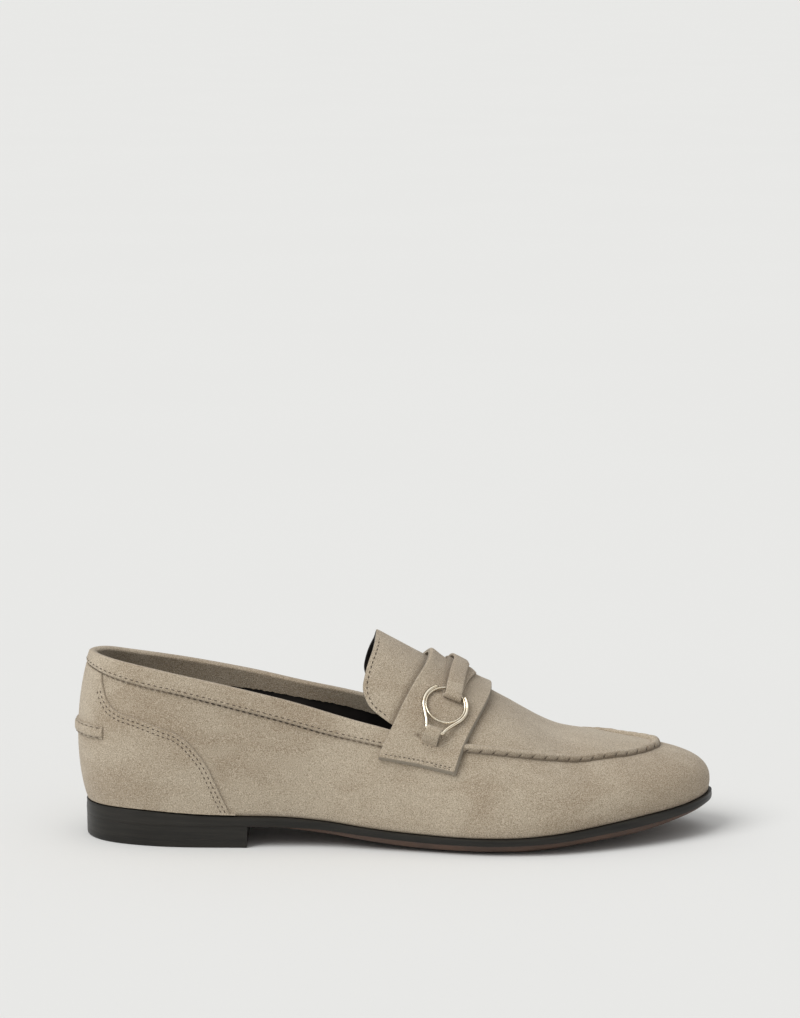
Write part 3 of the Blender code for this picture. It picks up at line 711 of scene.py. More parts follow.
suedeMat = suedeFinish(suedeTone)
liningMat = liningFinish(liningTone)
edgeMat = edgeFinish(edgeTone)
goldMat = goldFinish(goldTone)
threadMat = threadFinish(threadTone)
print("finishes made")

# floor, light and camera

studio = {
    "tilt": 80.5,
    "place": (148 * mm - shiftX, -1578.06 * mm, 418.58 * mm),
    "lens": 121.36,
    "sensor": 36,
    "floor": 8.0,
    "sight": 100,
    "paper": ((0.790, 0.790, 0.775, 1.0), (0.794, 0.794, 0.779, 1.0)),
    "world": 0.47,
    "suns": (
        {"turn": (24, -37, 0), "energy": 1.74, "spread": 38},
        {"turn": (8, 0, 0), "energy": 0.47, "spread": 60},
    ),
}


def makeStudio():
    bpy.context.scene.view_settings.view_transform = "Standard"
    deselectAll()
    bpy.ops.mesh.primitive_plane_add(size=studio["floor"] * 4, location=(0, studio["floor"], 0))
    floor = bpy.context.object
    floor.name = "floor"
    paper = Finish("paper", Roughness=1.0, Specular_IOR_Level=0.0)
    color = paper.mix(paper.ramp(paper.noise(3.0, 2.0), 0.3, 0.7), *studio["paper"])
    floor.data.materials.append(paper.feed(Base_Color=color))
    world = bpy.data.worlds.new("studio") if not bpy.data.worlds else bpy.data.worlds[0]
    bpy.context.scene.world = world
    world.use_nodes = True
    background = world.node_tree.nodes["Background"].inputs
    background["Color"].default_value = (1.0, 1.0, 1.0, 1.0)
    background["Strength"].default_value = studio["world"]
    for lamp in studio["suns"]:
        bpy.ops.object.light_add(type="SUN", location=(-1, -1, 2))
        sun = bpy.context.object
        sun.rotation_euler = [math.radians(turn) for turn in lamp["turn"]]
        sun.data.energy = lamp["energy"]
        sun.data.angle = math.radians(lamp["spread"])
    bpy.ops.object.camera_add(location=studio["place"], rotation=(math.radians(studio["tilt"]), 0, 0))
    camera = bpy.context.object
    camera.data.lens = studio["lens"]
    camera.data.sensor_fit = "AUTO"
    camera.data.sensor_width = studio["sensor"]
    camera.data.clip_end = studio["sight"]
    bpy.context.scene.camera = camera


makeStudio()
print("studio made")

# upper: one wall of suede over its lining

upper = {
    "ways": 150,
    "throatWays": 26,
    "rises": 64,
    "rimDrop": 0.0016,
    "climb": 0.085,
    "footShade": 0.75,
    "seamShade": 0.22,
    "saddleShade": 0.46,
    "crevice": 2.4,
    "mostShade": 0.8,
}
# way along the foot, rise over the last
seamTable = (
    (0.500, 0.430),
    (0.560, 0.462),
    (0.605, 0.503),
    (0.643, 0.541),
    (0.682, 0.597),
    (0.726, 0.636),
    (0.765, 0.668),
    (0.822, 0.736),
    (0.898, 0.838),
    (0.950, 0.895),
    (1.000, 0.922),
)
# the saddle's back and front edges: share of the sole's length, share of the instep height
saddleLeft = (
    (0.5580, 1.000),
    (0.5473, 0.901),
    (0.5233, 0.811),
    (0.5060, 0.727),
    (0.4900, 0.630),
    (0.4726, 0.524),
    (0.4652, 0.457),
    (0.4600, 0.410),
)
saddleRight = (
    (0.5800, 0.350),
    (0.5855, 0.394),
    (0.6024, 0.534),
    (0.6250, 0.644),
    (0.6432, 0.708),
    (0.6520, 0.735),
    (0.6850, 0.850),
)
saddleFoot = ((0.4652, 0.457), (0.5233, 0.432), (0.5855, 0.394))
saddleRightX = lineOf(saddleRight)
# soft troughs and ridges: x, height, angle in degrees, half length, half width, depth, in mm; side
creases = (
    (182, 38, 62, 9, 2.6, -0.22, lateral),
    (190, 35, 58, 10, 3.0, -0.26, lateral),
    (200, 34, 52, 8, 2.6, -0.18, lateral),
    (196, 37, 60, 8, 3.0, 0.20, lateral),
    (186, 37, 60, 8, 3.0, 0.18, lateral),
    (188, 36, 118, 10, 3.0, -0.24, medial),
    (200, 35, 122, 9, 2.8, -0.20, medial),
    (118, 36, 80, 10, 6.0, -0.28, lateral),
    (96, 44, 74, 9, 6.0, 0.22, lateral),
    (134, 30, 70, 8, 5.0, 0.20, lateral),
    (72, 46, 60, 9, 6.0, -0.20, lateral),
    (112, 34, 100, 10, 6.0, -0.26, medial),
    (232, 28, 20, 10, 5.0, -0.14, lateral),
    (252, 30, 30, 8, 5.0, 0.12, lateral),
    (30, 30, 85, 9, 5.0, 0.16, lateral),
)


def wallWaves(way, rise, side):
    point = lastSurface(way, rise, side) / mm
    waves = np.zeros(point.shape[:-1])
    for x, z, angle, length, width, depth, where in creases:
        if where != side:
            continue
        turn = math.radians(angle)
        along = (point[..., 0] - x) * math.cos(turn) + (point[..., 2] - z) * math.sin(turn)
        across = -(point[..., 0] - x) * math.sin(turn) + (point[..., 2] - z) * math.cos(turn)
        waves += depth * bell(along, 0, length) * bell(across, 0, width)
    return waves * mm


def buildUpper():
    throat = float(wayOf(shoe["throat"]))
    turn = np.linspace(throat - 0.003, throat + 0.045, upper["throatWays"])
    ways = np.sort(np.append(np.linspace(0, 1, upper["ways"]), turn))
    share = np.concatenate([[0, 0.004, 0.009], np.linspace(0.016, 1, upper["rises"])])
    columns, shades = [], []
    for side, order in roundShoe(ways):
        high = riseTo(rimLine, order, side)
        drop = np.where(high < 1, upper["rimDrop"] / upper["climb"], 0.0)
        rises = (high - drop)[:, None] * share[None]
        grid = np.repeat(order[:, None], len(share), 1)
        point = last(grid, rises, side, wallWaves(grid, rises, side))
        columns.append(point)
        # painted shade and grime along the sole, painted shade below the seam and in front of the saddle
        foot = upper["footShade"] * smoothStep(0.012, 0.0, rises)
        underSeam = (rises - readTable(seamTable, 1, grid)) * 90
        beside = bell(underSeam, -2.5, 1.3) * smoothStep(0.545, 0.56, grid) * upper["seamShade"]
        pastSaddle = (point[..., 0] - saddleRightX(point[..., 2])) / mm
        creviced = bell(pastSaddle, 0.3, upper["crevice"]) * smoothStep(0.30, 0.38, rises)
        creviced = upper["saddleShade"] * creviced
        shades.append(np.clip(foot + beside + creviced, 0, upper["mostShade"]))
    piece = gridPiece("upperWall", np.concatenate(columns), joinRows=True,
                      marks={"shade": np.concatenate(shades), "edge": 0.0})
    faceOut(piece)
    for finish in (suedeMat, liningMat):
        piece.data.materials.append(finish)
    applyModifier(piece, "SOLIDIFY", thickness=shoe["wall"], offset=-1.0, use_even_offset=False,
                  material_offset=1, material_offset_rim=0)
    finishPiece(piece, [], ["upper"])


buildUpper()
print("upper made")

# collar band with the facing inside

# share of the sole's length, lower edge in heights of the shoe there
bandTable = (
    (0.000, 0.930),
    (0.040, 0.884),
    (0.088, 0.840),
    (0.154, 0.790),
    (0.240, 0.712),
    (0.310, 0.646),
    (0.375, 0.582),
    (0.498, 0.495),
)
collar = {
    "ways": 150,
    "outside": 0.0016,
    "inside": -0.0024,
    "roll": 0.0011,
    "above": 0.0003,
    "end": 0.4900,
    "tuck": 0.004,
    "edge": (1.1, 0.16),
    "ragged": ((0.0015, 900, 0), (0.001, 2300, 1)),
    "rows": {"outer": 16, "roll": 11, "inner": 20, "back": 6, "front": 8},
    "shade": {"roll": (0, 0.04), "inner": (0.05, 0.12)},
}
# way along the foot, depth of the facing below the rim in rises of the last
facingTable = (
    (0.000, 0.080),
    (0.300, 0.075),
    (0.345, 0.066),
    (0.400, 0.059),
    (0.440, 0.059),
    (0.476, 0.067),
    (0.520, 0.075),
)


def bandLine(x, side):
    return shoeHeight(x) * readTable(bandTable, 1, x / shoe["soleLength"])


def buildCollar():
    ways = np.linspace(0, float(wayOf(collar["end"])), collar["ways"])
    count, shade = collar["rows"], collar["shade"]
    half = (collar["outside"] - collar["inside"]) / 2
    turns = np.linspace(0, math.pi, count["roll"] + 2)[1:-1]
    rings, edges = [], []
    for side, order in roundHeel(ways):
        rim, foot = riseTo(rimLine, order, side), riseTo(bandLine, order, side)
        _, normal, _, perRise = lastFrame(order, rim, side)
        scale = np.linalg.norm(perRise, axis=1)
        center = rim - (collar["roll"] - collar["above"]) / scale
        ragged = sum(size * np.sin(order * rate + start) for size, rate, start in collar["ragged"])
        under = center - readTable(facingTable, 1, order) - ragged
        tucked = center - collar["tuck"]
        way = order[:, None]
        outerRises = stepsBetween(foot, center, count["outer"])
        fromEdge = (outerRises - foot[:, None]) * scale[:, None] / mm
        outer = last(way, outerRises, side, collar["outside"] * cutEdge(fromEdge, *collar["edge"]))
        middle = last(order, center, side, (collar["outside"] + collar["inside"]) / 2)[:, None]
        roll = middle + half * np.cos(turns)[None, :, None] * normal[:, None]
        roll = roll + collar["roll"] * np.sin(turns)[None, :, None] * (perRise / scale[:, None])[:, None]
        inner = last(way, stepsBetween(center, under, count["inner"]), side, collar["inside"])
        back = last(way, stepsBetween(under, tucked, count["back"]), side, -shoe["wall"] - 0.0001)
        front = last(way, stepsBetween(tucked, foot, count["front"]), side, 0.00005)
        rings.append(np.concatenate([outer, roll, inner, back, front], axis=1))
        edges.append(0.10 * (fromEdge < 0.2))
    edge, rings = np.concatenate(edges), np.concatenate(rings)
    edge = np.pad(edge, ((0, 0), (0, rings.shape[1] - count["outer"])))
    # painted shade, darkening over the roll and down the facing inside the collar
    dark = [np.zeros(count["outer"])] + [np.linspace(*shade[part], count[part]) for part in ("roll", "inner")]
    dark = np.concatenate(dark + [np.zeros(count["back"] + count["front"])])
    suedePiece("collarBand", rings, "collar_band", edge=edge, shade=dark[None])


buildCollar()
print("collar made")

# counter over the heel

# share of the sole's length, upper edge in heights of the shoe there
counterTable = (
    (0.033, 0.860),
    (0.0375, 0.790),
    (0.045, 0.740),
    (0.059, 0.702),
    (0.083, 0.676),
    (0.106, 0.648),
    (0.130, 0.619),
    (0.152, 0.590),
    (0.168, 0.550),
    (0.184, 0.490),
    (0.198, 0.425),
    (0.209, 0.348),
    (0.220, 0.268),
    (0.236, 0.150),
    (0.246, 0.060),
)
counter = {
    "ways": 120,
    "backWays": 34,
    "rises": 26,
    "thickness": 0.0011,
    "foot": 0.006,
    "lift": 0.3 * shoe["gap"],
    "edge": (0.6, 0.20),
}


def counterLine(x, side):
    underBand = bandLine(x, side) - shoe["gap"]
    curve = shoeHeight(x) * readTable(counterTable, 1, x / shoe["soleLength"])
    return np.where(x < counterTable[0][0] * shoe["soleLength"], underBand, np.minimum(underBand, curve))


def buildCounter():
    start, end = (float(wayOf(counterTable[row][0])) for row in (0, -1))
    back = np.linspace(0, start, counter["backWays"])[:-1]
    ways = np.concatenate([back, np.linspace(start, end - 0.003, counter["ways"])])
    shares = edgeSpaced(60, counter["rises"])
    rings, edges, lines = [], [], {}
    for side, order in roundHeel(ways):
        top = np.maximum(riseTo(counterLine, order, side), counter["foot"] + 0.004)
        lines[side] = (order, top)
        way = np.repeat(order[:, None], len(shares), 1)
        rises = counter["foot"] + (top[:, None] - counter["foot"]) * shares
        scale = np.linalg.norm(lastFrame(order, 0.3 + 0 * order, side)[3], axis=1)[:, None] / mm
        fromEdge = np.minimum((top[:, None] - rises) * scale, 3.0)
        height = counter["lift"] + counter["thickness"] * cutEdge(fromEdge, *counter["edge"])
        outer = last(way, rises, side, height + wallWaves(way, rises, side))
        inner = last(way[:, ::-1], rises[:, ::-1], side, -0.0001)
        rings.append(np.concatenate([outer, inner], axis=1))
        edges.append(outerOnly(0.30 * (fromEdge < 0.22)))
    suedePiece("counterPanel", np.concatenate(rings), "counter", edge=np.concatenate(edges))
    return lines


counterLines = buildCounter()
print("counter made")

# tab across the back

heelTab = {
    "place": 0.59,
    "width": 0.0061,
    "reach": 0.0125,
    "thickness": 0.0014,
    "ways": 30,
    "columns": 15,
    "groove": (0.74, 0.10),
    "pinch": (0.88, 0.03),
}


def buildHeelTab():
    middle = heelTab["place"] * shoe["backHeight"]
    ways = np.linspace(0, float(wayOf(heelTab["reach"] / shoe["soleLength"])), heelTab["ways"])
    base = shoe["gap"] + counter["thickness"]
    s = np.linspace(-1, 1, heelTab["columns"])
    groove = 0.30 * bell(np.abs(s), *heelTab["groove"])
    rings = []
    for side, order in roundHeel(ways):
        along = order / ways[-1]
        nearEnd = smoothStep(0.80, 1.0, along)
        half = heelTab["width"] / 2 * (1 - 0.10 * nearEnd + 0.05 * np.sin(order * 160))
        low = riseTo(lambda x, _: middle - half, order, side)
        high = riseTo(lambda x, _: middle + half, order, side)
        rises = low[:, None] + (high - low)[:, None] * (s + 1) / 2
        dome = (1 - np.abs(s) ** 3.5 * 0.62) * (1 - 0.35 * nearEnd)[:, None]
        pinch = 0.35 * bell(along, *heelTab["pinch"])[:, None]
        outer = last(order[:, None], rises, side, base + heelTab["thickness"] * (dome - groove - pinch))
        inner = last(order[:, None], rises[:, ::-1], side, base - 0.0004)
        rings.append(np.concatenate([outer, inner], axis=1))
    # the edge tone also paints shade into the grooves along the stitch lines
    edge = outerOnly((0.35 * (np.abs(s) > 0.95) + groove)[None])
    suedePiece("heelTab", np.concatenate(rings), "heel_tab", edge=edge)


buildHeelTab()
print("heel tab made")

# raised seam round the toe

seam = {
    "start": 0.548,
    "width": 0.0043,
    "height": 0.0025,
    "pitch": 6.1,
    "sideWays": 260,
    "toeWays": 90,
    "columns": 25,
    "slotDepth": 0.00085,
    "thread": (0.00080, 0.00020, 0.00022),
}


def buildSeam():
    sides = np.linspace(seam["start"], 0.9, seam["sideWays"])
    ways = np.concatenate([sides, np.linspace(0.9, 1.0, seam["toeWays"])[1:]])
    rows = []
    for side, order in ((lateral, ways), (medial, ways[-2::-1])):
        rows.append(lastFrame(order, readTable(seamTable, 1, order), side))
    point, normal, _, perRise = (np.concatenate([row[k] for row in rows]) for k in range(4))
    ahead = unit(np.gradient(point, axis=0))
    inside = np.cross(ahead, normal)
    inside *= np.sign(np.sum(inside * perRise, axis=1, keepdims=True))
    run = runAlong(point) / mm
    s = np.linspace(-1, 1, seam["columns"])[None]
    phase = ((run / seam["pitch"]) % 1)[:, None]
    bulge = np.abs(np.sin(math.pi * (phase - 0.5))) ** 0.6
    slot = bell(phase - 0.42 * (s + 0.72), 0.5, 0.055) * bell(s, -0.66, 0.24)
    dome = np.maximum(1 - np.abs(s) ** 2.4, 0) ** 0.55
    height = seam["height"] * dome * (0.90 + 0.10 * bulge) - seam["slotDepth"] * slot
    height = height + 0.10 * mm * np.sin(run[:, None] * 1.9) * bell(s, 0.55, 0.25) - 0.15 * mm
    across = s * seam["width"] / 2 * (1 + 0.10 * (bulge - 0.5) * np.clip(-s, 0, 1))
    outer = point[:, None] + inside[:, None] * across[..., None] + normal[:, None] * height[..., None]
    under = (point - normal * 0.5 * mm)[:, None]
    # painted shade: darker down the ridge's outer side, along its outer and inner edges and in the puckers
    shade = 0.32 * smoothStep(0.15, -0.55, s) + 0.40 * bell(s, -0.98, 0.14) + 0.75 * slot
    shade = shade + 0.16 * bell(s, 0.98, 0.12)
    shade = np.pad(np.clip(shade, 0, 0.9), ((0, 0), (0, 1)))
    suedePiece("mocSeam", np.concatenate([outer, under], axis=1), "moc_seam", angle=70, shade=shade)
    # one short slanting thread in each pucker of the outer line
    line = point - inside * 0.36 * seam["width"] + normal * 0.42 * seam["height"]
    up = unit(normal - 0.8 * inside)
    length, width, thick = seam["thread"]
    frames = []
    for count in range(int(run[-1] / seam["pitch"])):
        k = int(np.argmin(np.abs(run - (count + 0.5) * seam["pitch"])))
        slant = ahead[k] * 0.86 + inside[k] * 0.50
        slant = unit(slant - up[k] * (slant @ up[k]))
        frames.append((line[k], slant * length, np.cross(up[k], slant) * width, up[k] * thick))
    stitchPiece("seamStitches", frames)


buildSeam()
print("seam made")

# tongue

# share of the sole's length, share of the instep height, up the free edge
tongueEdge = (
    (0.4655, 1.080),
    (0.4580, 0.949),
    (0.4515, 0.902),
    (0.4445, 0.832),
    (0.4420, 0.785),
    (0.4460, 0.731),
    (0.4555, 0.686),
    (0.4720, 0.647),
    (0.4875, 0.615),
    (0.4990, 0.597),
)
tongue = {"thickness": 0.0020, "rows": 90, "columns": 40, "crevice": 2.4, "edge": (0.6, 0.35)}


def sideGrid(left, right, low, side, rows, columns, out, widthMm=30, near=nearEdge):
    # ways and rises of a sheet between two edge lines, from its low end over to the crest
    shares = edgeSpaced(widthMm, columns, near)
    rises = np.linspace(0, 1, rows)
    lefts = wayTo(left, rises, side, out)
    rights = wayTo(right, rises, side, out)
    footRise = np.zeros(len(shares))
    for j, share in enumerate(shares):
        heights = last(lefts + (rights - lefts) * share, rises, side, out)
        footRise[j] = np.interp(0.0, heights[:, 2] - low(heights[:, 0]), rises)
    spread = edgeSpaced(60, rows, near)[: 1 - len(near)]
    grid = footRise[None] + (1 - footRise[None]) * (spread / spread[-1])[:, None]
    lefts = np.interp(grid.ravel(), rises, lefts).reshape(grid.shape)
    rights = np.interp(grid.ravel(), rises, rights).reshape(grid.shape)
    return lefts + (rights - lefts) * shares[None], grid, shares


def buildTongue():
    throatX = shoe["throat"] * shoe["soleLength"]
    gap = shoe["gap"] * math.hypot(1, shoe["throatSlope"]) / shoe["throatSlope"]
    rimZ = rimTable[-1][1] * shoe["instepHeight"]
    low = tongueEdge[-1][1] * shoe["instepHeight"]

    def right(z):
        return throatX - gap + (z - rimZ) / shoe["throatSlope"]

    rings, edges, shades = [], [], []
    for side in (lateral, medial):
        ways, rises, shares = sideGrid(lineOf(tongueEdge), right, lambda x: low + 0 * x, side,
                                       tongue["rows"], tongue["columns"], 0.0)
        ends = last(ways[:, [0, -1]], rises[:, [0, -1]], side)
        width = np.linalg.norm(ends[:, 1] - ends[:, 0], axis=1) / mm
        fromEdge = shares[None] * np.maximum(width, 1.0)[:, None]
        lift = 0.5 * mm * bell(fromEdge, 0, 5.0) * smoothStep(0.80, 1.0, rises)
        cutBack = mm * (1 - cutEdge(np.minimum(fromEdge, 9), *tongue["edge"]))
        outer = last(ways, rises, side, lift - 0.6 * cutBack)
        inner = last(ways, rises, side, lift - tongue["thickness"] + 0.4 * cutBack)
        order = slice(None) if side == lateral else slice(-2, None, -1)
        rings.append(np.concatenate([outer, inner[:, ::-1]], axis=1)[order])
        # painted shade on the tongue along the saddle's back edge
        toSaddle = (lineOf(saddleLeft)(outer[..., 2]) - outer[..., 0]) / mm
        shades.append(outerOnly(0.50 * bell(toSaddle, -0.2, tongue["crevice"]))[order])
        edges.append(outerOnly(0.30 * (fromEdge < 0.35))[order])
        if side == lateral:
            tongue["line"] = (ways[:, 0], rises[:, 0])
    slots = [0] * (len(shares) - 1) + [1] * (len(shares) + 1)
    suedePiece("tongueFlap", np.concatenate(rings), "tongue", edge=np.concatenate(edges),
               shade=np.concatenate(shades), slots=slots)


buildTongue()
print("tongue made")

# saddle over the instep

saddle = {
    "lift": 0.0005,
    "thickness": 0.0024,
    "rows": 110,
    "columns": 70,
    "curl": 0.0013,
    "near": (0.0, 0.12, 0.35, 0.65, 0.95, 1.25, 1.45, 1.65, 2.0),
    "bevel": ((0.0, 0.0), (0.12, 0.28), (0.65, 0.62), (1.25, 0.88), (1.45, 0.97), (1.65, 1.0)),
}
ringTop = (0.556, 0.741)
barMiddle = (0.535, 0.497)


def saddleTop():
    return saddle["lift"] + saddle["thickness"]


# the slit that the ring's tab goes into: place on the last, tilt in degrees, then half length, place up the
# wall, half width and depth in mm
slit = {"way": 0.527, "rise": 0.4455, "tilt": -8, "half": 4.6, "middle": -0.2, "width": 0.5, "depth": 0.7}
# dents and swellings round it, in mm: middle and half width along the foot, middle and half width
# up the wall, climb of that middle along the foot, height
slitDents = (
    (-4.6, 1.9, 0.5, 0.75, 0.30, -0.95),
    (4.0, 1.1, 0.4, 1.5, 0.0, -0.90),
    (0.0, 5.0, -2.2, 1.8, 0.0, 0.30),
    (0.0, 6.0, 4.5, 3.2, 0.0, 0.20),
    (-7.5, 2.4, 1.6, 1.4, 0.0, -0.30),
)


def saddleWaves(way, rise, side):
    center, _, perWay, perRise = lastFrame(slit["way"], slit["rise"], side)
    along = unit(perWay)
    up = unit(perRise - along * (perRise @ along))
    tilt = math.radians(slit["tilt"])
    along, up = along * math.cos(tilt) + up * math.sin(tilt), up * math.cos(tilt) - along * math.sin(tilt)
    offset = (lastSurface(way, rise, side) - center) / mm
    a, b = offset @ along, offset @ up
    waves = -slit["depth"] * np.exp(-((a / slit["half"]) ** 6)) * bell(b, slit["middle"], slit["width"])
    for aMiddle, aWidth, bMiddle, bWidth, climb, height in slitDents:
        waves = waves + height * bell(a, aMiddle, aWidth) * bell(b - climb * (a - aMiddle), bMiddle, bWidth)
    return waves * mm


def buildSaddle():
    left, right = lineOf(saddleLeft), lineOf(saddleRight)
    foot = np.array(saddleFoot) * [shoe["soleLength"], shoe["instepHeight"]]
    bevel = np.array(saddle["bevel"])
    rings, edges, shades = [], [], []
    for side in (lateral, medial):
        ways, rises, shares = sideGrid(left, right, lambda x: np.interp(x, foot[:, 0], foot[:, 1]), side,
                                       saddle["rows"], saddle["columns"], saddleTop(), 36, saddle["near"])
        points = last(ways, rises, side, saddleTop())
        width = np.linalg.norm(points[:, -1] - points[:, 0], axis=1)[:, None] / mm
        steps = np.linalg.norm(np.diff(points, axis=0), axis=2)
        height = np.concatenate([np.zeros((1, len(shares))), np.cumsum(steps, axis=0)]) / mm
        fromLeft, fromRight = shares[None] * width, (1 - shares[None]) * width
        fromCut = np.minimum(fromRight * 1.5, height)
        onTop = smoothStep(0.70, 0.97, rises)
        curl = saddle["curl"] * bell(fromLeft, 0, 5.0) * onTop
        hang = 0.5 * mm * bell(fromRight, 0, 3.5) * smoothStep(0.55, 0.95, rises)
        soft = 0.22 * mm * np.sin(fromLeft / 5.2 + 1.1) * np.sin(height / 7.5 + 0.4)
        press = 0.16 * mm * bell(height, 3.0, 0.5)
        waves = saddleWaves(ways, rises, side)
        leftEdge = cutEdge(fromLeft, 0.55 + 0.9 * onTop, 0.62 - 0.4 * onTop)
        face = saddle["thickness"] * np.minimum(np.interp(fromCut, bevel[:, 0], bevel[:, 1]), leftEdge)
        outer = last(ways, rises, side, saddle["lift"] + face + curl + hang + soft + waves - press)
        inner = last(ways, rises, side, saddle["lift"] - 0.2 * mm + curl + hang)
        order = slice(None) if side == lateral else slice(-2, None, -1)
        rings.append(np.concatenate([outer, inner[:, ::-1]], axis=1)[order])
        edge = 0.74 * smoothStep(1.66, 1.40, fromCut) + 0.6 * (fromLeft < 0.2)
        edges.append(outerOnly(np.clip(edge, 0, 0.85), 0.6)[order])
        # painted shade in the dents round the slit
        shades.append(outerOnly(0.7 * np.clip(-waves / (1.1 * mm), 0, 1) ** 2)[order])
        if side == lateral:
            saddle["foot"] = (ways[0], rises[0])
    suedePiece("saddleStrap", np.concatenate(rings), "saddle_strap", angle=50, edge=np.concatenate(edges),
               shade=np.concatenate(shades))


buildSaddle()
print("saddle made")

# bit: a thin ring and an outer wire on each side

bit = {
    "radius": 0.0092,
    "wire": 0.00056,
    "sideWire": 0.00088,
    "sideRadius": 0.0103,
    "startDeg": 50,
    "endDeg": -28,
    "pull": 0.0030,
    "flare": 0.0006,
    "barDrop": 0.0141,
    "barLength": 0.0086,
    "corner": 0.0007,
    "ringLift": 0.0027,
    "barLift": 0.0035,
    "ringOut": -0.00010,
    "wireOut": 0.00012,
    "endTaper": (0.55, 0.90),
}


def bitFrame(side):
    top = last(*ringTop, side, saddleTop() + bit["ringLift"])
    bar = last(*barMiddle, side, saddleTop() + bit["barLift"])
    up = unit(top - bar)
    between = (np.array(ringTop) + np.array(barMiddle)) / 2
    outward = lastFrame(*between, side)[1]
    outward = unit(outward - up * (outward @ up))
    return bar + bit["barDrop"] * up, side * np.cross(outward, up), up, outward


def inBitFrame(side, a, b, c=0.0):
    middle, along, up, outward = bitFrame(side)
    a, b, c = np.broadcast_arrays(*(np.asarray(v, float) for v in (a, b, c)))
    return middle + a[..., None] * along + b[..., None] * up + c[..., None] * outward


def onLast(side, start, a, b):
    # way and rise of the saddle's point that lies at a and b of the bit's frame
    middle, along, up, _ = bitFrame(side)
    a, b = np.broadcast_arrays(np.asarray(a, float), np.asarray(b, float))
    way, rise = np.full(a.shape, start[0]), np.full(a.shape, start[1])
    for _ in range(4):
        point, normal, perWay, perRise = lastFrame(way, rise, side)
        here = point + saddleTop() * normal - middle
        m11, m12, m21, m22 = perWay @ along, perRise @ along, perWay @ up, perRise @ up
        moreA, moreB = a - here @ along, b - here @ up
        det = m11 * m22 - m12 * m21
        way = way + (m22 * moreA - m12 * moreB) / det
        rise = rise + (m11 * moreB - m21 * moreA) / det
    return way, rise


def sideWirePath():
    angles = np.radians(np.linspace(bit["startDeg"], bit["endDeg"], 34))
    arc = np.stack([np.cos(angles), np.sin(angles)], -1) * bit["sideRadius"]
    legEnd = np.array((bit["barLength"] / 2, -bit["barDrop"]))
    heading = np.array((math.sin(angles[-1]), -math.cos(angles[-1])))
    near = arc[-1] + bit["pull"] * heading
    far = legEnd + np.array((bit["flare"], bit["pull"]))
    t = np.linspace(0.06, 1.0, 22)[:, None]
    leg = (1 - t) ** 3 * arc[-1] + 3 * (1 - t) ** 2 * t * near + 3 * (1 - t) * t**2 * far + t**3 * legEnd
    turn = np.linspace(0, math.pi / 2, 7)[1:]
    corner = legEnd - bit["corner"] * np.stack([1 - np.cos(turn), np.sin(turn)], -1)
    half = np.concatenate([arc, leg, corner])
    bar = np.stack([np.linspace(half[-1, 0], -half[-1, 0], 12), np.full(12, half[-1, 1])], -1)[1:-1]
    return np.concatenate([half, bar, half[::-1] * [-1, 1]])


def buildBit(side, name):
    turns = np.linspace(0, 2 * math.pi, 120, endpoint=False)
    ring = inBitFrame(side, bit["radius"] * np.cos(turns), bit["radius"] * np.sin(turns), bit["ringOut"])
    ring = tubePoints(ring, bit["wire"], 14, True)
    inner = gridPiece("innerRing_" + name, ring, joinRows=True, joinColumns=True)
    finishPiece(inner, [goldMat])
    path = sideWirePath()
    route = inBitFrame(side, path[:, 0], path[:, 1], bit["wireOut"])
    radius = np.full(len(route), bit["sideWire"])
    for k, taper in enumerate(bit["endTaper"]):
        radius[[k, -1 - k]] *= taper
    outer = gridPiece("outerWire_" + name, tubePoints(route, radius, 16), joinColumns=True, caps=True)
    finishPiece(outer, [goldMat], ["bit_" + name], angle=50)


for side, name in ((lateral, "lateral"), (medial, "medial")):
    buildBit(side, name)
print("bit made")

# strap folded round both rings, and the tabs round the bars

strap = {
    "width": 0.0079,
    "fold": 0.0049,
    "raise": 0.0014,
    "aside": 0.0013,
    "layer": 0.0013,
    "topAtRing": 0.0042,
    "topOverCrest": 0.0032,
    "back": (0.0008, 0.0026),
    "front": (0.0003, 0.0050),
    "steps": 60,
    "across": (-1, -0.97, -0.88, -0.5, 0, 0.5, 0.88, 0.97, 1),
    "roundEdge": (0.35, 0.72, 1, 1, 1, 1, 1, 0.72, 0.35),
}
# rise over the last, way along the foot
strapMiddle = (
    (0.600, 0.5500),
    (0.662, 0.5530),
    (0.741, 0.5565),
    (0.812, 0.5605),
    (1.000, 0.5742),
)


def strapGrid(side, across, out, end):
    # points of the strap: rows from the fold to the crest, columns over its width
    share = np.linspace(0, 1, len(across))[:, None]
    rise = end[1] + (1 - end[1]) * share
    middle = readTable(strapMiddle, 1, rise)
    perWay = np.linalg.norm(lastFrame(middle, rise, side)[2], axis=-1)
    offset = end[0] - readTable(strapMiddle, 1, end[1])
    return last(middle + across / perWay + offset * (1 - share) ** 2, rise, side, out)


def strapLayer(side, across, middle, first, crown, end):
    # a layer's two faces, round at both edges, as rings
    thick = first * strap["layer"] / 2 * np.array(strap["roundEdge"])
    top = strapGrid(side, across, middle + thick + crown, end)
    bottom = strapGrid(side, across, middle - thick, end)
    return np.concatenate([top, bottom[:, ::-1]], axis=1)


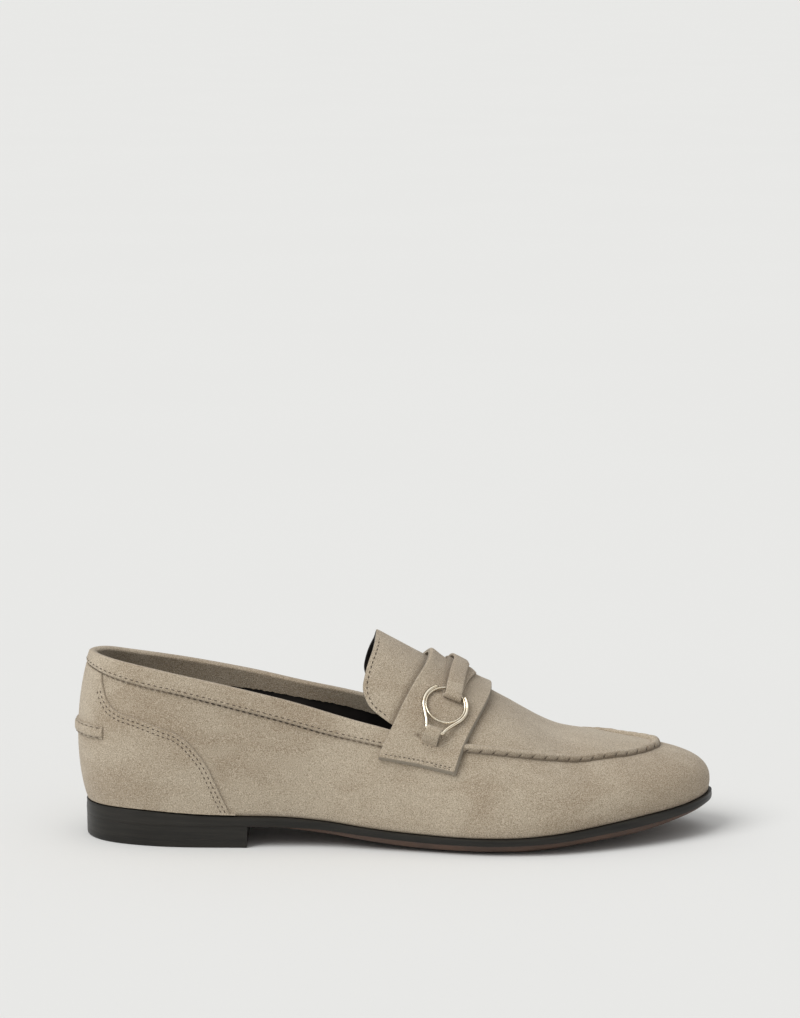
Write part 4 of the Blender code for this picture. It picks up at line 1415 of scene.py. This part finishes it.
def buildStrap():
    base = saddleTop() + 0.2 * mm
    s = np.array(strap["across"])
    share = np.linspace(0, 1, strap["steps"])[:, None]
    half, layer = strap["width"] / 2, strap["layer"]
    loops = []
    for side in (lateral, medial):
        end = onLast(side, ringTop, strap["aside"], bit["radius"] - strap["fold"] + strap["raise"])
        end = (float(end[0]), float(end[1]))
        climb = strap["topOverCrest"] - strap["topAtRing"]
        top = base + strap["topAtRing"] + climb * smoothStep(0, 1, share)
        wave = 0.12 * mm * np.sin(share * 9 + side)
        crown = 0.10 * mm * (1 - s**2)
        high = strapLayer(side, half * s + 0 * share, top + wave - layer / 2, 1, crown, end)
        leftA = -half - strap["back"][0] - (strap["back"][1] - strap["back"][0]) * share
        rightA = half + strap["front"][0] + (strap["front"][1] - strap["front"][0]) * share**1.2
        low = strapLayer(side, leftA + (rightA - leftA) * (s + 1) / 2, base + layer / 2, -1, 0.0, end)
        down = unit(high[0].mean(0) - high[1].mean(0))
        fold = []
        for angle in math.pi * np.arange(1, 14) / 14:
            blend = (1 - math.cos(angle)) / 2
            reach = 0.5 * np.linalg.norm(high[0] - low[0], axis=1)[:, None] * math.sin(angle)
            fold.append(high[0] * (1 - blend) + low[0] * blend + down * reach)
        loops.append((high, np.array(fold), low))
    (highL, foldL, lowL), (highM, foldM, lowM) = loops
    belt = np.concatenate([lowL[::-1], foldL[::-1], highL, highM[-2::-1], foldM, lowM[:-1]])
    count = len(s)
    edge, shade = np.zeros((2, *belt.shape[:2]))
    edge[:, [0, count - 1, count, -1]] = 0.45
    # painted shade on the left side of each lower layer, under the upper one
    for rows in (slice(0, len(lowL)), slice(len(belt) - len(lowM) + 1, None)):
        shade[rows, count + 5 :] = 0.50
    suedePiece("bitStrap", belt, "bit_strap", edge=edge, shade=shade, ring=True)


buildStrap()

tab = {
    "width": 0.0070,
    "leather": 0.0011,
    "radius": 0.0015,
    "flare": 0.10,
    "front": ((-5.0, -1.0), (-4.6, 0.25), (-4.0, 1.35), (-3.1, 2.75), (-2.1, 4.15), (-1.2, 4.75)),
    "back": ((-1.6, 1.75), (-2.6, 1.10), (-3.6, 0.60), (-4.3, 0.05), (-4.7, -1.0)),
    "across": (-1, -0.96, -0.86, -0.45, 0, 0.45, 0.86, 0.96, 1),
    "roundEdge": (0.45, 0.78, 1, 1, 1, 1, 1, 0.78, 0.45),
}


def buildTab(side, name):
    # a strip that rises from the slit, goes round the bar and comes back under itself
    turns = np.radians(np.linspace(108, -90, 16))
    arc = np.stack([np.cos(turns) * tab["radius"], bit["barLift"] + np.sin(turns) * tab["radius"]], -1)
    knots = np.concatenate([np.array(tab["front"]) * mm, arc, np.array(tab["back"]) * mm])
    run = runAlong(knots)
    fine = np.linspace(0, run[-1], 80)
    route = np.stack([np.interp(fine, run, knots[:, k]) for k in (0, 1)], -1)
    for _ in range(2):
        route[1:-1] = (route[:-2] + 2 * route[1:-1] + route[2:]) / 4
    ahead = unit(np.gradient(route, axis=0))
    aside = np.stack([-ahead[:, 1], ahead[:, 0]], -1)
    s = np.array(tab["across"])
    a = s[None] * tab["width"] / 2 * (1 + tab["flare"] * np.clip(-route[:, :1] / (7 * mm), 0, 1))
    faces = []
    for sign in (1, -1):
        thick = tab["leather"] / 2 * sign * np.array(tab["roundEdge"])
        b = route[:, :1] + aside[:, :1] * thick
        c = route[:, 1:] + aside[:, 1:] * thick
        faces.append(last(*onLast(side, barMiddle, a, b - bit["barDrop"]), side, saddleTop() + c))
    rings = np.concatenate([faces[0], faces[1][:, ::-1]], axis=1)
    # painted shade on the run that comes back under the tab
    under = smoothStep(len(route) * 0.52, len(route) * 0.60, np.arange(len(route)))[:, None]
    edge = np.tile(0.40 * (np.abs(s) > 0.97), 2)[None]
    suedePiece("ringTab_" + name, rings, "ring_tab_" + name, edge=edge, shade=0.55 * under)


for side, name in ((lateral, "lateral"), (medial, "medial")):
    buildTab(side, name)
print("strap and tabs made")

# stitches

# in mm: pitch of the row, then length, width and height of a stitch
stitch = {
    "plain": {"pitch": 2.9, "length": 1.75, "width": 0.50, "height": 0.40},
    "bold": {"pitch": 2.9, "length": 2.1, "width": 0.70},
    "counter": {"pitch": 2.5, "length": 1.45},
    "heelTab": {"pitch": 3.4, "length": 2.3, "width": 0.42},
    "tongue": {"pitch": 2.6, "length": 1.6},
    "saddle": {"pitch": 2.1, "length": 1.25, "width": 0.38},
    "ringTab": {"pitch": 1.9, "length": 1.1, "width": 0.34},
    "underTab": {"pitch": 1.9, "length": 1.2, "width": 0.34},
}
# how dark each row's thread is
stitchTone = {"plain": 0.8, "counter": 0.9, "heelTab": 0.55}


def lineFrames(ways, rises, side, out, kind):
    # stitches along a line on the last, left out where it runs off the last's edges; out in mm
    keep = (rises < 0.999) & (rises > 0.001) & (ways > 0) & (ways < 1)
    ways, rises = ways[keep], rises[keep]
    fine = np.linspace(0, 1, 400)
    knots = np.linspace(0, 1, len(ways))
    point, normal, _, _ = lastFrame(np.interp(fine, knots, ways), np.interp(fine, knots, rises), side)
    sizes = {key: value * mm for key, value in {**stitch["plain"], **stitch[kind]}.items()}
    return stitchRun(point + out * mm * normal, normal, **sizes)


def buildStitches():
    frames, tones = [], []

    def add(ways, rises, side, out, kind):
        made = lineFrames(ways, rises, side, out, kind)
        frames.extend(made)
        tones.extend([stitchTone[kind]] * len(made))

    for side in (lateral, medial):
        # the band's inner row, and the bold one on its edge, darkest along the middle of the foot
        ways = np.linspace(0.0, float(wayOf(collar["end"])), 160)
        rises = riseTo(bandLine, ways, side)
        add(*shiftLine(ways, rises, side, -side * 1.7 * mm), side, collar["outside"] / mm + 0.02, "plain")
        bold = lineFrames(*shiftLine(ways, rises, side, side * 0.20 * mm), side, 0.50, "bold")
        spots = np.array([f[0][0] for f in bold]) / shoe["soleLength"]
        frames.extend(bold)
        tones.extend(0.25 + 0.75 * smoothStep(0.10, 0.20, spots) * smoothStep(0.44, 0.36, spots))
        # two rows inside the counter's edge
        order, high = counterLines[side]
        keep = order > float(wayOf(counterTable[0][0])) + 0.002
        ways, rises = (order[keep], high[keep]) if side == lateral else (order[keep][::-1], high[keep][::-1])
        onCounter = (counter["lift"] + counter["thickness"]) / mm + 0.02
        for inset in (1.7, 3.5):
            way, rise = shiftLine(*evenLine(ways, rises, side), side, side * inset * mm)
            fits = (rise > 0.012) & (rise < riseTo(bandLine, np.clip(way, 0, 1), side) - 0.004)
            add(way[fits], rise[fits], side, onCounter, "counter")
        # the heel tab's stitched edges
        ways = np.linspace(0.0, 0.97 * float(wayOf(heelTab["reach"] / shoe["soleLength"])), 60)
        for share in (-0.76, 0.76):
            level = heelTab["place"] * shoe["backHeight"] + share * heelTab["width"] / 2
            add(ways, riseTo(lambda x, _: level, ways, side), side, 2.25, "heelTab")
    return frames, tones


upperFrames, upperTones = buildStitches()
stitchPiece("upperStitches", upperFrames, upperTones)


def buildSaddleStitches():
    frames = []
    onSaddle = saddleTop() / mm
    for side in (lateral, medial):
        way, rise = shiftLine(*tongue["line"], side, side * 1.9 * mm)
        frames += lineFrames(way[6:], rise[6:], side, 0.08, "tongue")
        # a row along the saddle's foot, and a second one near its front
        for inset, first in ((3.0, 30), (2.1, 350)):
            way, rise = moveOnLast(*evenLine(*saddle["foot"], side), side, 0.0, inset * mm)
            frames += lineFrames(way[first:470], rise[first:470], side, onSaddle, "saddle")
        # on the ring's tab and under it
        for b, kind in ((-3.9, "ringTab"), (-6.2, "underTab")):
            spot = onLast(side, barMiddle, np.linspace(-3.1, 3.1, 12) * mm, b * mm - bit["barDrop"])
            frames += lineFrames(*spot, side, onSaddle + 2.0, kind)
    return frames


stitchPiece("strapStitches", buildSaddleStitches())
print("stitches made")

# sole, heel and sock

sole = {"bevelInset": 0.0025, "treadInset": 0.0090, "ways": 190, "breastWays": 8}
heel = {"ways": 70, "breastWays": 14, "top": shoe["heelHeight"] + 0.00035, "lift": 0.0034}
sock = {"ways": 120, "round": 0.0004, "inward": 0.0040}


def soleRing(ways, inset, height):
    points = []
    for side, order in roundShoe(ways):
        x, y = soleEdge(order, side, inset)
        lineX, _ = soleLine(order, side)
        points.append(np.stack([x, y, height(lineX)], -1))
    return np.concatenate(points)


def capRing(ring):
    # points that close a ring: pulled to its middle line in a few steps
    middle = (ring + np.roll(ring[::-1], 1, axis=0)) / 2
    return [ring * (1 - t) + middle * t for t in (0.25, 0.5, 0.75, 1.0)]


def buildSole():
    breast = float(wayOf(shoe["heelEnd"]))
    closer = np.linspace(breast - 0.002, breast + 0.006, sole["breastWays"])
    ways = np.sort(np.append(np.linspace(0, 1, sole["ways"]), closer))

    def top(x):
        return soleHeight(x, 1)

    def foot(x):
        return soleHeight(x, 2) + 0.0004 * smoothStep(0.40, 0.55, x / shoe["soleLength"])

    def bevel(x):
        return soleHeight(x, 3)

    def tread(x):
        return soleHeight(x, 4)

    def between(first, second, share):
        return lambda x: first(x) * (1 - share) + second(x) * share

    rings = [
        soleRing(ways, 0.0004, top),
        soleRing(ways, 0.0001, lambda x: top(x) - 0.00012),
        soleRing(ways, 0.0, lambda x: top(x) - 0.00035),
        soleRing(ways, 0.00012, between(top, foot, 0.28)),
        soleRing(ways, -0.00002, between(top, foot, 0.40)),
        soleRing(ways, -0.00010, between(top, foot, 0.65)),
        soleRing(ways, 0.0, lambda x: foot(x) + 0.0004),
        soleRing(ways, 0.00010, foot),
        soleRing(ways, 0.0005, lambda x: foot(x) * 0.94 + bevel(x) * 0.06),
        soleRing(ways, sole["bevelInset"] * 0.55, between(foot, bevel, 0.55)),
        soleRing(ways, sole["bevelInset"], bevel),
        soleRing(ways, (sole["bevelInset"] + sole["treadInset"]) / 2, between(bevel, tread, 0.55)),
        soleRing(ways, sole["treadInset"], tread),
    ]
    brown = [0] * 7 + [0.15, 0.9, 1.0, 1.0, 1.0, 1.0]
    rows = capRing(rings[0])[::-1] + rings + capRing(rings[-1])
    brown = np.array([0.0] * 4 + brown + [1.0] * 4)[:, None]
    piece = gridPiece("outsoleUnit", rows, joinColumns=True, marks={"brown": brown})
    finishPiece(piece, [edgeMat], ["outsole"], angle=40)


def buildHeel():
    ways = np.linspace(0, float(wayOf(shoe["heelEnd"])), heel["ways"])

    def level(height, inset):
        points = []
        for side, order in ((lateral, ways), (medial, ways[::-1])):
            x, y = soleEdge(order, side, inset)
            x = x - inset * 0.6 * (order == ways[-1])
            points.append(np.stack([x, y, np.full(len(order), height)], -1))
        t = np.linspace(0, 1, heel["breastWays"] + 2)[1:-1, None]
        breast = points[0][-1] * (1 - t) + points[1][0] * t
        return np.concatenate([points[0], breast, points[1][:-1]])

    # height, inset: the top edge, the groove over the last lift, the worn lower edge
    top, lift = heel["top"], heel["lift"]
    rings = [level(height, inset) for height, inset in (
        (top, 0.0),
        (top - 0.0003, 0.00004),
        (top * 0.7, 0.00002),
        (lift + 0.0002, 0.00005),
        (lift, 0.00009),
        (lift - 0.0002, 0.00005),
        (0.0012, 0.0001),
        (0.0005, 0.00022),
        (0.00015, 0.0005),
        (0.0, 0.0010),
    )]
    under, middle = rings[-1], rings[-1].mean(0)
    rows = [rings[0] * 0 + rings[0].mean(0)] + rings + [under * (1 - t) + middle * t for t in (0.3, 0.7, 1.0)]
    piece = gridPiece("heelBlock", rows, joinColumns=True, marks={"brown": 0.0})
    finishPiece(piece, [edgeMat], ["heel"], angle=40)


def buildSock():
    inset = shoe["featherInset"] + shoe["wall"] + 2 * shoe["gap"]
    ways = np.linspace(0, 1, sock["ways"])
    lift = shoe["gap"] + shoe["insole"]

    def level(inset, lift):
        return soleRing(ways, inset, lambda x: soleHeight(x, 1) + lift)

    rings = [
        level(inset, shoe["gap"]),
        level(inset, lift - sock["round"]),
        level(inset + sock["round"], lift),
        level(inset + sock["inward"], lift - 0.0002),
    ]
    rows = capRing(rings[0])[::-1] + rings + capRing(rings[-1])
    piece = gridPiece("sockLining", rows, joinColumns=True)
    finishPiece(piece, [liningMat], ["insole"], angle=50)


buildSole()
buildHeel()
buildSock()
print("sole made")
